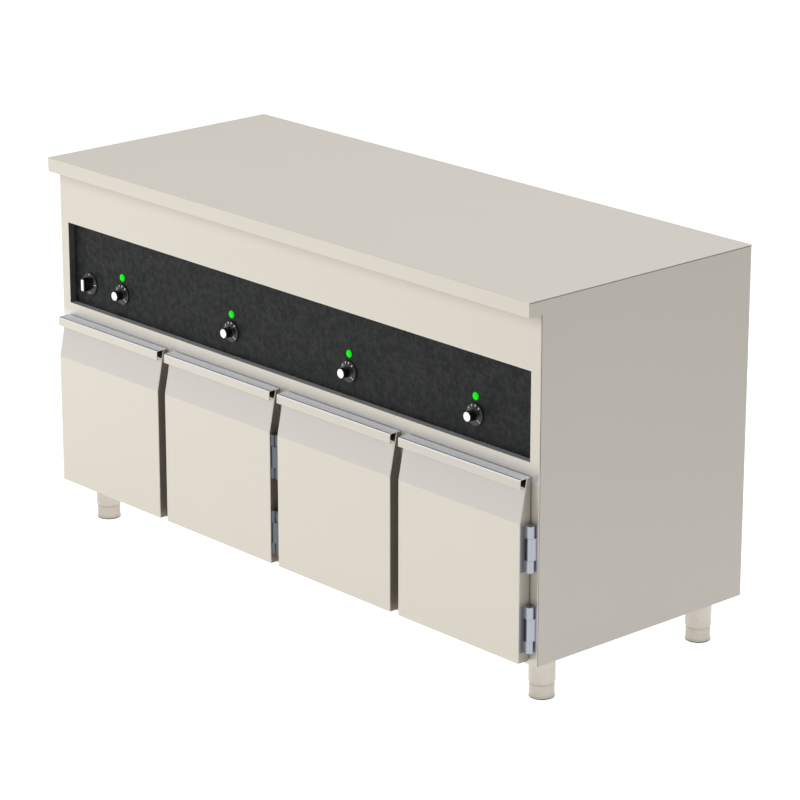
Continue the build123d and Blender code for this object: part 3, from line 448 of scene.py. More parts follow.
FINISHES: tuple[Any, ...] = (
    SheetSteel("satin_steel", STEEL_TONE, STEEL_SHADE),
    SheetSteel("fascia_steel", STEEL_TONE, STEEL_SHADE, painted_reflection_below=HANDLE_PAINTED_REFLECTION_TOP, painted_shadow_top=LIP_LOW),
    # A darker copy of the satin steel: painted shade on the end sheets, which also carry the real joints
    SheetSteel("side_steel_painted_shade", linear(202, 197, 188), linear(194, 188, 178), Sheen.UPRIGHT, seams=True),
    # Darker copies for the doors' side returns: painted shade in the gaps between doors and on the outer ends
    SheetSteel("gap_return_painted_shade", linear(152, 144, 132), linear(136, 129, 118), Sheen.UPRIGHT, 0.5, 0.5),
    SheetSteel("end_return_painted_shade", linear(182, 176, 166), linear(170, 164, 154), Sheen.UPRIGHT),
    # A cooler copy for the slopes, a painted cool light from above, with painted shade inside the handles
    SheetSteel("slope_steel_painted_shading", linear(225, 220, 213), linear(216, 211, 204), shaded_above=HOLLOW_LOW),
    # Recess walls: painted shade and painted reflection of the dark panel; its floor painted lighter and
    # cooler
    SheetSteel("recess_steel_painted_shade", linear(116, 113, 110), linear(100, 97, 94), Sheen.ALONG, 0.5, 0.5),
    SheetSteel("recess_floor_painted_light", linear(208, 207, 210), linear(194, 193, 196), Sheen.ALONG, 0.4, 0.5),
    # Painted shade inside the handles' hollows
    SheetSteel("hollow_steel_painted_shade", linear(40, 37, 34), linear(30, 28, 26), Sheen.ALONG, 0.4, 0.5),
    # Darker copy for the worktop's rounded edges: painted shade
    SheetSteel("fold_steel_painted_shade", linear(196, 190, 181), linear(184, 178, 168)),
    SheetSteel("edge_steel", linear(224, 219, 209), linear(214, 209, 199), Sheen.UPRIGHT),
    SheetSteel("liner_steel", linear(200, 198, 194), linear(186, 184, 180), Sheen.ALONG, 0.8, 0.34),
    # Handle: painted highlight, painted dark reflection and painted cool light on top
    PolishedBendPaintedReflections("handle_steel", linear(244, 237, 225), linear(246, 249, 255)),
    DarkEnamel("control_black", linear(25, 28, 27), linear(54, 56, 55)),
    Moulding("knob_black", linear(12, 12, 12), 0.24),
    # Caps, pointer and marks glow a little: painted light; the pilot lens glows as a lit lamp
    Moulding("cap_white", linear(255, 255, 254), 0.4, 0.00001, 0.35),
    Moulding("mark_white", linear(255, 255, 252), 0.55, 0.00001, 0.1),
    Moulding("pilot_green", linear(2, 214, 2), 0.3, 0.00001, 0.7, 0.1),
    Moulding("lamp_housing", linear(58, 58, 60)),
    WorkedMetal("hinge_steel", linear(186, 190, 199), 0.32, 0.7),
    # Hinge leaves' flat faces painted in shade, and the middle hinges painted in the doors' shade
    WorkedMetal("hinge_leaf_painted_shade", linear(128, 128, 132), 0.42, 0.6),
    WorkedMetal("hinge_shaded", linear(112, 116, 124), 0.5, 0.3),
    WorkedMetal("leg_steel", linear(206, 200, 190), 0.3, 0.8, (60.0, 60.0, 1100.0)),
    WorkedMetal("foot_steel", linear(200, 194, 184), 0.3, 0.8, (60.0, 60.0, 1100.0)),
    Moulding("pad_rubber", linear(16, 16, 16), 0.8, 0.0001, 0.0, 0.0),
    Moulding("seal_rubber", linear(66, 66, 66), 0.7, 0.0001),
    MineralWool("mineral_wool", linear(150, 138, 92), linear(216, 204, 152)),
    MineralWool("board", linear(150, 122, 84), linear(188, 160, 118)),
    WorkedMetal("element_steel", linear(104, 98, 94), 0.5, 0.7),
    Moulding("ceramic", linear(224, 218, 204), 0.6, 0.0001),
    WorkedMetal("shaft_steel", linear(200, 200, 202), 0.25, 0.95),
    Moulding("gland_grey", linear(74, 74, 78), 0.5, 0.0001),
)


class Finishes:
    """Makes each finish once and hands it out by name."""

    kinds: dict[str, Any] = {finish.name: finish for finish in FINISHES}
    made: dict[str, bpy.types.Material] = {}

    @classmethod
    def get(cls, name: str) -> bpy.types.Material:
        """Return a finish's material, made at its first use."""
        if name not in cls.made:
            cls.made[name] = cls.kinds[name].build()
        return cls.made[name]


def make_piece(name: str, points: np.ndarray, faces: list[Sequence[int]], finish: str, body: str,
               slot: str | None = None, sharp: float = 32.0, round_edge: float = 0.0,
               flat: bool = False) -> bpy.types.Object:
    """Turn points and faces into a closed piece that rides on a body.

    Args:
        name: The piece's name.
        points: Vertices as rows of X, Y and Z.
        faces: Vertex numbers of each face.
        finish: Name of the finish.
        body: The body that carries the piece.
        slot: The record's slot, where it isn't the finish's name; not used.
        sharp: Edges turned by more than this many degrees shade as sharp.
        round_edge: Width of a rounding on sharp edges, or 0.
        flat: Large faces keep their own direction in the shading, and only the bends blend.

    Returns:
        The new object.
    """
    mesh = bpy.data.meshes.new(name)
    mesh.from_pydata(points.tolist(), [], [list(face) for face in faces])
    shell = bmesh.new()
    shell.from_mesh(mesh)
    bmesh.ops.remove_doubles(shell, verts=shell.verts, dist=1e-7)
    bmesh.ops.recalc_face_normals(shell, faces=shell.faces)
    shell.to_mesh(mesh)
    shell.free()
    mesh.polygons.foreach_set("use_smooth", [True] * len(mesh.polygons))
    mesh.set_sharp_from_angle(angle=math.radians(sharp))
    mesh.materials.append(Finishes.get(finish))
    piece = bpy.data.objects.new(name, mesh)
    bpy.context.scene.collection.objects.link(piece)
    if round_edge:
        bevel = piece.modifiers.new("rounding", "BEVEL")
        bevel.width = round_edge
        bevel.segments = 3
        bevel.limit_method = "ANGLE"
        bevel.angle_limit = math.radians(sharp)
        bevel.harden_normals = True
    if flat:
        weights = piece.modifiers.new("flat faces", "WEIGHTED_NORMAL")
        weights.keep_sharp = True
    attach(piece, body)
    LOG.info("%s: %d faces on %s", name, len(mesh.polygons), body)
    return piece


class Axis(Enum):
    """Direction that a turned piece's axis runs in."""

    Y = "y"
    Z = "z"


def turned(centre: Sequence[float], outline: np.ndarray, axis: Axis, steps: int = 64,
           waves: Callable[[np.ndarray], np.ndarray] | None = None) -> tuple[np.ndarray, list[Sequence[int]]]:
    """Carry an outline round an axis.

    A point is centre + r cos(t) u + r sin(t) v + h w, where r and h come from the outline, t is the
    turn, w is the axis and u and v are the two directions square to it.

    Args:
        centre: A point on the axis; its share along the axis is added to h.
        outline: Rows of (r, h) from one end to the other.
        axis: The axis.
        steps: Points round the turn.
        waves: Factor on r for each turn, for ribs or flutes, or nothing.

    Returns:
        Points and faces.
    """
    turns = np.linspace(0, 2 * np.pi, steps, endpoint=False)
    radius, height = np.asarray(outline, float).T
    swell = np.ones((len(radius), steps)) if waves is None else waves(turns)
    r = radius[:, None] * swell
    u, v, h = r * np.cos(turns), r * np.sin(turns), np.repeat(height[:, None], steps, 1)
    parts = (u, h, v) if axis is Axis.Y else (u, v, h)
    points = np.stack(parts, -1).reshape(-1, 3) + np.asarray(centre, float)
    rows, columns = np.meshgrid(np.arange(len(radius) - 1), np.arange(steps), indexing="ij")
    onwards = (columns + 1) % steps
    quads = np.stack([rows * steps + columns, rows * steps + onwards,
                      (rows + 1) * steps + onwards, (rows + 1) * steps + columns], -1).reshape(-1, 4)
    return points, quads.tolist()


def prism(outline: np.ndarray, low: float, high: float, axis: str) -> tuple[np.ndarray, list[Sequence[int]]]:
    """Carry a closed outline straight along an axis, with both ends closed.

    Args:
        outline: Rows of the two coordinates square to the axis, in the order X, Y, Z.
        low: Start along the axis.
        high: End along the axis.
        axis: x, y or z.

    Returns:
        Points and faces.
    """
    count = len(outline)
    ends = [np.insert(outline, "xyz".index(axis), place, axis=1) for place in (low, high)]
    sides = [(i, (i + 1) % count, count + (i + 1) % count, count + i) for i in range(count)]
    caps = [tuple(range(count)), tuple(range(2 * count - 1, count - 1, -1))]
    return np.vstack(ends), sides + caps


def rounded_rectangle(half_x: float, half_z: float, radius: float, steps: int = 6) -> np.ndarray:
    """Outline of a rectangle about the origin whose corners are quarter circles.

    Args:
        half_x: Half of the width.
        half_z: Half of the height.
        radius: Radius of the corners.
        steps: Points on each corner.

    Returns:
        Rows of two coordinates.
    """
    turns = np.linspace(0, np.pi / 2, steps)
    corners = [(1, 1, 0.0), (-1, 1, np.pi / 2), (-1, -1, np.pi), (1, -1, 1.5 * np.pi)]
    arcs = [np.stack([sx * (half_x - radius) + radius * np.cos(turns + start),
                      sz * (half_z - radius) + radius * np.sin(turns + start)], -1)
            for sx, sz, start in corners]
    return np.vstack(arcs)


def join_shapes(*shapes: tuple[np.ndarray, list[Sequence[int]]]) -> tuple[np.ndarray, list[Sequence[int]]]:
    """Put several shapes into one set of points and faces.

    Args:
        shapes: Points and faces of each shape.

    Returns:
        Points and faces of them all.
    """
    points, faces, start = [], [], 0
    for shape_points, shape_faces in shapes:
        points.append(shape_points)
        faces += [tuple(int(corner) + start for corner in face) for face in shape_faces]
        start += len(shape_points)
    return np.vstack(points), faces


def paint(piece: bpy.types.Object, finishes: Sequence[str], choose: Callable[..., np.ndarray]) -> None:
    """Spread several finishes over a piece's faces.

    Args:
        piece: The piece.
        finishes: Names of the finishes; the first is already on the piece.
        choose: Gives each face's place in finishes from rows of normals and rows of centres.
    """
    mesh = piece.data
    for finish in finishes[1:]:
        mesh.materials.append(Finishes.get(finish))
    normals, centres = np.zeros((2, len(mesh.polygons) * 3))
    mesh.polygons.foreach_get("normal", normals)
    mesh.polygons.foreach_get("center", centres)
    places = choose(normals.reshape(-1, 3), centres.reshape(-1, 3)).astype(np.int32)
    mesh.polygons.foreach_set("material_index", places)


def softened(node: str, finishes: Sequence[str], slot: str, choose: Callable[..., np.ndarray] | None = None,
             width: float = 0.0005, sharp: float = 30.0, edge: int = -1) -> bpy.types.Object:
    """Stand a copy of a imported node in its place, with its sharp edges rounded off.

    The copy's loose triangles are merged and its flat faces joined before the rounding.

    Args:
        node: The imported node.
        finishes: Names of the finishes that its faces take.
        slot: The record's slot.
        choose: Gives each face's place in finishes from rows of normals and rows of centres.
        width: Width of the rounding.
        sharp: Edges turned by more than this many degrees are rounded.
        edge: Place in finishes of the rounding itself, or -1 for that of its neighbours.

    Returns:
        The new object.
    """
    shell = bmesh.new()
    shell.from_mesh(frame["nodes"][node].data)
    bmesh.ops.remove_doubles(shell, verts=shell.verts, dist=1e-6)
    bmesh.ops.dissolve_limit(shell, angle_limit=math.radians(0.5), verts=shell.verts, edges=shell.edges)
    shell.verts.index_update()
    points = np.array([corner.co[:] for corner in shell.verts])
    faces = [[corner.index for corner in face.verts] for face in shell.faces]
    shell.free()
    piece = make_piece(f"{node}_sheet", points, faces, finishes[0], frame["nodes"][node]["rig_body"], slot,
                       sharp, width)
    paint(piece, finishes, choose or (lambda normals, centres: np.zeros(len(normals), int)))
    piece.modifiers["rounding"].material = edge
    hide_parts(node)
    return piece


def dress(node: str, finish: str) -> None:
    """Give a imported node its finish."""
    slots = frame["nodes"][node].data.materials
    slots.clear()
    slots.append(Finishes.get(finish))


def middle(node: str) -> Vector:
    """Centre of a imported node's box."""
    low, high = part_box(node)
    return (low + high) / 2


@dataclass
class Casing:
    """Sheets that show from outside: worktop, ends, back, base, front frame and doors' seals."""

    soft_nodes: tuple[str, ...] = ("bottom_rail", "back_panel")
    plain_nodes: tuple[str, ...] = ("front_posts", "base_pan")
    end_nodes: tuple[str, ...] = ("side_panel_left", "side_panel_right")
    recess_half: float = 0.7745
    recess_low: float = 0.5385
    recess_high: float = 0.7365

    def _fascia_place(self, normals: np.ndarray, centres: np.ndarray) -> np.ndarray:
        """1 for the recess's returns, in painted shade, 2 for the one that looks up, painted lighter, and 0
        for the rest.
        """
        within = ((np.abs(centres[:, 0]) < self.recess_half) & (centres[:, 2] > self.recess_low)
                  & (centres[:, 2] < self.recess_high))
        returns = within & (np.abs(normals[:, 1]) < 0.5)
        return returns.astype(int) + (returns & (normals[:, 2] > 0.5))

    def build(self) -> None:
        """Dress the sheets."""
        for node in self.soft_nodes:
            softened(node, ("satin_steel",), "satin_steel")
        for node in self.plain_nodes:
            dress(node, "satin_steel")
        # The end sheets take a darker copy of the steel: painted shade
        for node in self.end_nodes:
            softened(node, ("side_steel_painted_shade",), "satin_steel")
        # The worktop's rounded edges are painted darker: painted shade
        softened("worktop_skin", ("satin_steel", "fold_steel_painted_shade"), "satin_steel", edge=1)
        # The fascia's finish carries a painted reflection above the handles and a painted shadow under the
        # worktop's lip
        recess = ("fascia_steel", "recess_steel_painted_shade", "recess_floor_painted_light")
        softened("front_fascia", recess, "satin_steel", self._fascia_place)
        for node, finish in (("worktop_board", "board"), ("door_gaskets", "seal_rubber"),
                             ("back_panel_screws", "hinge_steel"), ("cable_gland", "gland_grey"),
                             ("terminal_block", "ceramic")):
            dress(node, finish)
        LOG.info("casing dressed")


@dataclass
class Inside:
    """Lining, shelves, heating and the insulation round them."""

    finishes: dict[str, str] = field(default_factory=lambda: {
        "liner_back": "liner_steel", "liner_floor": "liner_steel", "liner_ceiling": "liner_steel",
        "liner_sides": "liner_steel", "partition_walls": "liner_steel", "shelf_runners": "liner_steel",
        "shelves": "liner_steel", "heating_elements": "element_steel", "insulation_slabs": "mineral_wool"})

    def build(self) -> None:
        """Dress the inside."""
        for node, finish in self.finishes.items():
            dress(node, finish)
        LOG.info("inside dressed")


@dataclass
class Doors:
    """The four doors with their pans and hinges."""

    outer_x: float = 0.77
    middle_x: float = 0.1
    slope_low: float = 0.415
    slope_depth: float = 0.019
    sheet: float = 0.0012
    edge_bend: float = 0.002
    handle_sheet: float = 0.0015
    handle_bend: float = 0.005
    lip: float = 0.0215
    hem: float = 0.003
    nose: float = 0.0009
    leaf_rounding: float = 0.0003
    leaf_sharp: float = 32.0

    def _skin_place(self, normals: np.ndarray, centres: np.ndarray) -> np.ndarray:
        """0 for fronts, 1 for returns between doors (painted shade), 2 for bends, 3 for slopes (painted cool
        light) and 4 for end returns (painted shade).
        """
        across = np.abs(normals[:, 0])
        place = np.zeros(len(normals), int)
        place[(np.abs(normals[:, 2]) > 0.1) & (normals[:, 1] < 0.0)] = 3
        place[across > 0.996] = np.where(np.abs(centres[:, 0]) < self.outer_x, 1, 4)[across > 0.996]
        place[(across > 0.15) & (across <= 0.996) & (normals[:, 1] < 0.0)] = 2
        return place

    def _door_leaf_place(self, normals: np.ndarray, centres: np.ndarray) -> np.ndarray:
        """1 for the leaves' flat faces, in painted shade, 2 for the middle hinges in the doors' shade and 0
        for barrels.
        """
        place = (np.abs(normals[:, 0]) > 0.985).astype(int)
        place[np.abs(centres[:, 0]) < self.middle_x] = 2
        return place

    def _frame_leaf_place(self, normals: np.ndarray, centres: np.ndarray) -> np.ndarray:
        """1 for the middle hinges in the doors' shade and 0 for the end ones."""
        return (np.abs(centres[:, 0]) < self.middle_x).astype(int)

    def _wall(self, half: float, levels: np.ndarray, fronts: np.ndarray, back: float,
              inset: float) -> np.ndarray:
        """Grid of a door's upright surface, from one back edge round the front to the other.

        At each level the row runs (-h, back), then the left bend x = -h' + R' - R' cos a,
        y = f + R - R' sin a for a from 0 to 90 degrees, then the same mirrored, where f is the level's
        front, R the outer bend, R' = R - inset and h' = h - inset.

        Args:
            half: Half of the door's width.
            levels: Heights, from the bottom up.
            fronts: Y of the front at each height.
            back: Y of the back edges.
            inset: 0 for the outer surface and the sheet's thickness for the inner one.

        Returns:
            Points by level and by place along the row.
        """
        turns = np.linspace(0, np.pi / 2, 13)
        bend, side = self.edge_bend - inset, half - inset
        arc_x = -side + bend - bend * np.cos(turns)
        arc_y = self.edge_bend - bend * np.sin(turns)
        x = np.concatenate([[-side], arc_x, -arc_x[::-1], [side]])
        depth = np.concatenate([arc_y, arc_y[::-1]])
        y = np.pad(fronts[:, None] + depth, ((0, 0), (1, 1)), constant_values=back)
        return np.stack([np.broadcast_to(x, y.shape), y, np.repeat(levels[:, None], len(x), 1)], -1)

    def _tray(self, number: int) -> None:
        """One door's outer sheet: upright front, sloping top, bent edges and a closed bottom."""
        low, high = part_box(f"door_skin_{number}")
        half, centre = (high.x - low.x) / 2, (low.x + high.x) / 2
        levels = np.array([low.z, self.slope_low, high.z - self.handle_sheet])
        fronts = np.array([low.y, low.y, low.y + self.slope_depth])
        outer = self._wall(half, levels, fronts, high.y, 0.0)
        inner = self._wall(half, levels, fronts, high.y, self.sheet)
        rows, columns = outer.shape[:2]
        points = np.vstack([outer.reshape(-1, 3), inner.reshape(-1, 3)]) + (centre, 0.0, 0.0)
        first = np.arange(rows * columns).reshape(rows, columns)
        second = first + rows * columns
        faces = [(g[i, j], g[i, j + 1], g[i + 1, j + 1], g[i + 1, j])
                 for g in (first, second) for i in range(rows - 1) for j in range(columns - 1)]
        faces += [(first[i, j], first[i, j + 1], second[i, j + 1], second[i, j])
                  for i in (0, rows - 1) for j in range(columns - 1)]
        faces += [(first[i, j], first[i + 1, j], second[i + 1, j], second[i, j])
                  for j in (0, columns - 1) for i in range(rows - 1)]
        floor = prism(inner[0, :, :2] + (centre, 0.0), low.z, low.z + self.sheet, "z")
        # Returns, end returns and slopes take darker or cooler copies: painted shade and painted light
        skins = ("satin_steel", "gap_return_painted_shade", "edge_steel", "slope_steel_painted_shading", "end_return_painted_shade")
        tray = make_piece(f"door_tray_{number}", *join_shapes((points, faces), floor), skins[0],
                          f"door_{number}", sharp=8.0, flat=True)
        paint(tray, skins, self._skin_place)
        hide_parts(f"door_skin_{number}")

    def _handle(self, number: int) -> None:
        """One folded handle: flat top, round bend, upright lip and a hem turned back inside it."""
        low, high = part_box(f"door_skin_{number}")
        front, back, top = low.y, high.y, high.z
        foot, under, inner = top - self.lip, top - self.handle_sheet, front + self.handle_sheet
        centre_y, centre_z = front + self.handle_bend, top - self.handle_bend
        turns = np.linspace(0, np.pi / 2, 17)
        short = self.handle_bend - self.handle_sheet
        outside = np.stack([centre_y - self.handle_bend * np.sin(turns),
                            centre_z + self.handle_bend * np.cos(turns)], -1)
        inside = np.stack([centre_y - short * np.sin(turns), centre_z + short * np.cos(turns)], -1)[::-1]
        nose = np.stack([front + self.nose - self.nose * np.cos(turns[::2]),
                         foot + self.nose - self.nose * np.sin(turns[::2])], -1)
        folded = inner + self.hem
        step = foot + self.handle_sheet
        outline = np.vstack([[(back, top)], outside, nose, [(folded, foot), (folded, step), (inner, step)],
                             inside, [(back, under)]])
        # The handle's inner faces are painted dark: painted shade
        finishes = ("handle_steel", "hollow_steel_painted_shade")
        piece = make_piece(f"door_handle_{number}", *prism(outline, low.x, high.x, "x"), finishes[0],
                           f"door_{number}", "satin_steel", sharp=20.0, flat=True)

        def hollow(normals: np.ndarray, centres: np.ndarray) -> np.ndarray:
            """1 for the faces that look into the handle, which take a painted shade."""
            return ((centres[:, 1] > front + 0.0005) & (centres[:, 2] < top - 0.0005)
                    & (np.abs(normals[:, 0]) < 0.5) & (normals[:, 1] > -0.5)
                    & (centres[:, 2] > foot + 0.0005)).astype(int)

        paint(piece, finishes, hollow)

    def build(self) -> None:
        """Make the doors' sheets and handles, and dress their pans and hinges."""
        for number in range(1, DOORS + 1):
            self._tray(number)
            self._handle(number)
            dress(f"door_inner_pan_{number}", "liner_steel")
            leaves = ("hinge_steel", "hinge_leaf_painted_shade", "hinge_shaded")
            softened(f"door_hinge_leaves_{number}", leaves, "hinge_steel", self._door_leaf_place,
                     self.leaf_rounding, self.leaf_sharp)
        softened("frame_hinge_leaves", ("hinge_steel", "hinge_shaded"), "hinge_steel",
                 self._frame_leaf_place, self.leaf_rounding, self.leaf_sharp)
        dress("hinge_pins", "shaft_steel")
        LOG.info("doors dressed")


@dataclass
class Mark:
    """One printed mark on a dial: where it points and how large it is."""

    turn: float
    radius: float
    length: float
    width: float


@dataclass
class Controls:
    """Dark control panel with knobs, lamps and the main switch."""

    knob_marks: tuple[Mark, ...] = field(default_factory=lambda: (
        *(Mark(turn, 0.0205, 0.0046, 0.0019) for turn in (144.0, 111.0, 82.0, 50.0)),
        Mark(-40.0, 0.0180, 0.0090, 0.0015)))
    switch_marks: tuple[Mark, ...] = field(default_factory=lambda: (
        Mark(0.0, 0.0215, 0.0070, 0.0012),
        *(Mark(turn, 0.0222, 0.0036, 0.0016) for turn in (90.0, 180.0, 270.0))))
    cone: float = 0.24
    mark_height: float = 0.00025
    grip_radius: float = 0.0115
    cap_radius: float = 0.0101

    def build(self) -> None:
        """Dress the panel and make the knobs and lamps."""
        dress("control_panel", "control_black")
        dress("thermostats", "ceramic")
        dress("main_switch_body", "ceramic")
        dress("pilot_housings", "lamp_housing")
        for number in range(1, DOORS + 1):
            dress(f"spindle_{number}", "shaft_steel")
            self._knob(number)
            self._lens(number)
        self._main_switch()

    def _marks(self, name: str, centre: Vector, rim: Sequence[float], marks: Sequence[Mark],
               body: str) -> None:
        """Printed marks on a dial's coned face.

        Each mark is a thin slab from r - l/2 to r + l/2 along its own direction, as wide as w, whose
        middle plane follows the cone: y = rim y - (rim r - r) times the cone's slope.

        Args:
            name: Name of the piece.
            centre: Centre of the dial.
            rim: Radius and Y of the face at its rim.
            marks: The marks.
            body: The body that carries the dial.
        """
        shapes = []
        along = np.array([-0.5, 0.5, 0.5, -0.5])
        aside = np.array([-0.5, -0.5, 0.5, 0.5])
        for mark in marks:
            r, w = mark.radius + along * mark.length, aside * mark.width
            turn = math.radians(mark.turn)
            x = centre.x + r * math.cos(turn) - w * math.sin(turn)
            z = centre.z + r * math.sin(turn) + w * math.cos(turn)
            y = rim[1] - (rim[0] - r) * self.cone
            low, high = np.stack([x, y - self.mark_height, z], -1), np.stack([x, y + self.mark_height, z], -1)
            sides = [(i, (i + 1) % 4, 4 + (i + 1) % 4, 4 + i) for i in range(4)]
            shapes.append((np.vstack([low, high]), [(0, 1, 2, 3), (7, 6, 5, 4)] + sides))
        make_piece(name, *join_shapes(*shapes), "mark_white", body, "cap_white")

    def _knob(self, number: int) -> None:
        """One round knob: a coned skirt, a plain grip and a pale cap."""
        low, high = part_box(f"knob_body_{number}")
        centre = middle(f"knob_body_{number}")
        base, front = high.y, low.y
        skirt, body = (high.x - low.x) / 2, f"knob_{number}"
        rim_radius, rim_face = skirt - 0.0010, base - 0.0026
        foot = rim_face - (rim_radius - 0.0122) * self.cone
        outline = np.array([
            (0.0, base), (skirt - 0.0005, base), (skirt, base - 0.0005), (skirt - 0.0002, rim_face + 0.0006),
            (skirt - 0.0005, rim_face + 0.0001), (rim_radius, rim_face),
            (0.0122, foot), (0.0117, foot - 0.0006), (self.grip_radius, foot - 0.0016),
            (0.0113, front + 0.0016), (0.0110, front + 0.0006),
            (0.0106, front + 0.0001), (0.0102, front), (0.0, front)])
        piece = make_piece(f"knob_{number}", *turned((centre.x, 0, centre.z), outline, Axis.Y, 96),
                           "knob_black", body)
        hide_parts(f"knob_body_{number}")
        edge = self.cap_radius
        cap = np.array([(0.0, front + 0.0004), (edge, front + 0.0004), (edge, front - 0.0001),
                        (edge - 0.0004, front - 0.0005), (0.006, front - 0.0006), (0.0, front - 0.0006)])
        # The cap's finish glows a little: painted light
        top = make_piece(f"knob_cap_face_{number}", *turned((centre.x, 0, centre.z), cap, Axis.Y, 64),
                         "cap_white", body)
        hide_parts(f"knob_cap_{number}")
        self._marks(f"knob_marks_{number}", centre, (rim_radius, rim_face), self.knob_marks, body)

    def _lens(self, number: int) -> None:
        """One domed green lens with a rim."""
        low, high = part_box("pilot_lenses")
        x = middle(f"knob_body_{number}").x
        z, radius = (low.z + high.z) / 2, (high.z - low.z) / 2
        back = high.y
        turns = np.linspace(0, np.pi / 2, 10)
        dome = np.stack([(radius - 0.0006) * np.cos(turns), back - 0.0010 - 0.0022 * np.sin(turns)], -1)
        outline = np.vstack([[(0.0, back), (radius, back), (radius, back - 0.0007),
                              (radius - 0.0003, back - 0.0010)], dome])
        outline[-1, 0] = 0.0
        lens = make_piece(f"pilot_lens_{number}", *turned((x, 0, z), outline, Axis.Y, 64),
                          "pilot_green", CABINET)
        if number == 1:
            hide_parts("pilot_lenses")

    def _main_switch(self) -> None:
        """Round coned base with a bar grip, a pale pointer and four marks."""
        low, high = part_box("main_switch_knob")
        centre = middle("main_switch_knob")
        front = low.y
        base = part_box("control_panel")[0].y - 0.001
        disc, body = (high.x - low.x) / 2, "main_switch"
        rim_radius, rim_face = disc - 0.0008, base - 0.0020
        outline = np.array([(0.0, base), (disc - 0.0004, base), (disc, base - 0.0006),
                            (disc, rim_face + 0.0005), (disc - 0.0003, rim_face + 0.0001),
                            (rim_radius, rim_face),
                            (0.006, rim_face - (rim_radius - 0.006) * self.cone),
                            (0.0, rim_face - (rim_radius - 0.006) * self.cone)])
        knob = make_piece("main_switch_dial", *turned((centre.x, 0, centre.z), outline, Axis.Y, 96),
                          "knob_black", body)
        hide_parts("main_switch_knob")
        grip_outline = rounded_rectangle(0.0065, 0.0165, 0.006) + np.array([centre.x, centre.z])
        make_piece("main_switch_grip", *prism(grip_outline, front, rim_face, "y"), "knob_black", body,
                   round_edge=0.0008)
        bar_outline = rounded_rectangle(0.004, 0.0130, 0.0012) + np.array([centre.x, centre.z])
        bar_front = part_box("main_switch_bar")[0].y
        bar = make_piece("main_switch_pointer", *prism(bar_outline, bar_front, front + 0.0002, "y"),
                         "cap_white", body, round_edge=0.0003)
        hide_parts("main_switch_bar")
        self._marks("main_switch_marks", centre, (rim_radius, rim_face), self.switch_marks, body)


@dataclass
class Legs:
    """Tube legs with levelling feet."""

    wall: float = 0.0015
    pad_thickness: float = 0.0022
    groove: float = 0.0006

    def build(self) -> None:
        """Make the smooth sleeves and feet."""
        low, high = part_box("leg_sleeves")
        places = [middle(f"levelling_foot_{number}") for number in range(1, FEET + 1)]
        outer = high.x - max(place.x for place in places)
        for number, place in enumerate(places, 1):
            self._sleeve(number, place, outer, low.z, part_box("base_pan")[0].z)
            self._foot(number, place, outer - self.wall - 0.0003, low.z)

    def _sleeve(self, number: int, place: Vector, outer: float, low: float, high: float) -> None:
        """One tube under the base pan, open below, with a rolled lower edge.

        Args:
            number: Number of the leg.
            place: Middle of its foot.
            outer: Outer radius.
            low: Z of its lower end.
            high: Z of its upper end.
        """
        inner = outer - self.wall
        outline = np.array([(0.0, high), (outer - 0.0004, high), (outer, high - 0.0004),
                            (outer, low + 0.0012), (outer - 0.0004, low + 0.0004),
                            (outer - 0.0009, low), (inner, low),
                            (inner, high - 0.003), (0.0, high - 0.003)])
        sleeve = make_piece(f"leg_tube_{number}", *turned((place.x, place.y, 0), outline, Axis.Z, 72),
                            "leg_steel", CABINET)
        if number == 1:
            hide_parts("leg_sleeves")

    def _foot(self, number: int, place: Vector, column: float, sleeve_low: float) -> None:
        """One turned foot with a groove under the sleeve, a flared toe and a dark pad.

        Args:
            number: Number of the leg.
            place: Middle of the foot.
            column: Radius of the part that slides in the sleeve.
            sleeve_low: Z of the sleeve's lower end.
        """
        low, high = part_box(f"levelling_foot_{number}")
        toe, body = (high.x - low.x) / 2, f"foot_{number}"
        pad_top = low.z + self.pad_thickness
        outline = np.array([
            (0.0, pad_top), (toe - 0.0003, pad_top), (toe, pad_top + 0.0004), (toe, pad_top + 0.0022),
            (toe - 0.0004, pad_top + 0.0032), (column, pad_top + 0.0038), (column, sleeve_low - 0.0050),
            (column - self.groove, sleeve_low - 0.0044), (column - self.groove, sleeve_low - 0.0032),
            (column, sleeve_low - 0.0026), (column, high.z - 0.001), (column - 0.001, high.z), (0.0, high.z)])
        foot = make_piece(f"foot_{number}", *turned((place.x, place.y, 0), outline, Axis.Z, 72),
                          "foot_steel", body)
        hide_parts(f"levelling_foot_{number}")
        sole = np.array([(0.0, low.z), (toe - 0.0012, low.z), (toe - 0.0003, low.z + 0.0006),
                         (toe - 0.0003, pad_top), (0.0, pad_top)])
        make_piece(f"foot_pad_{number}", *turned((place.x, place.y, 0), sole, Axis.Z, 72), "pad_rubber", body,
                   "seal_rubber")


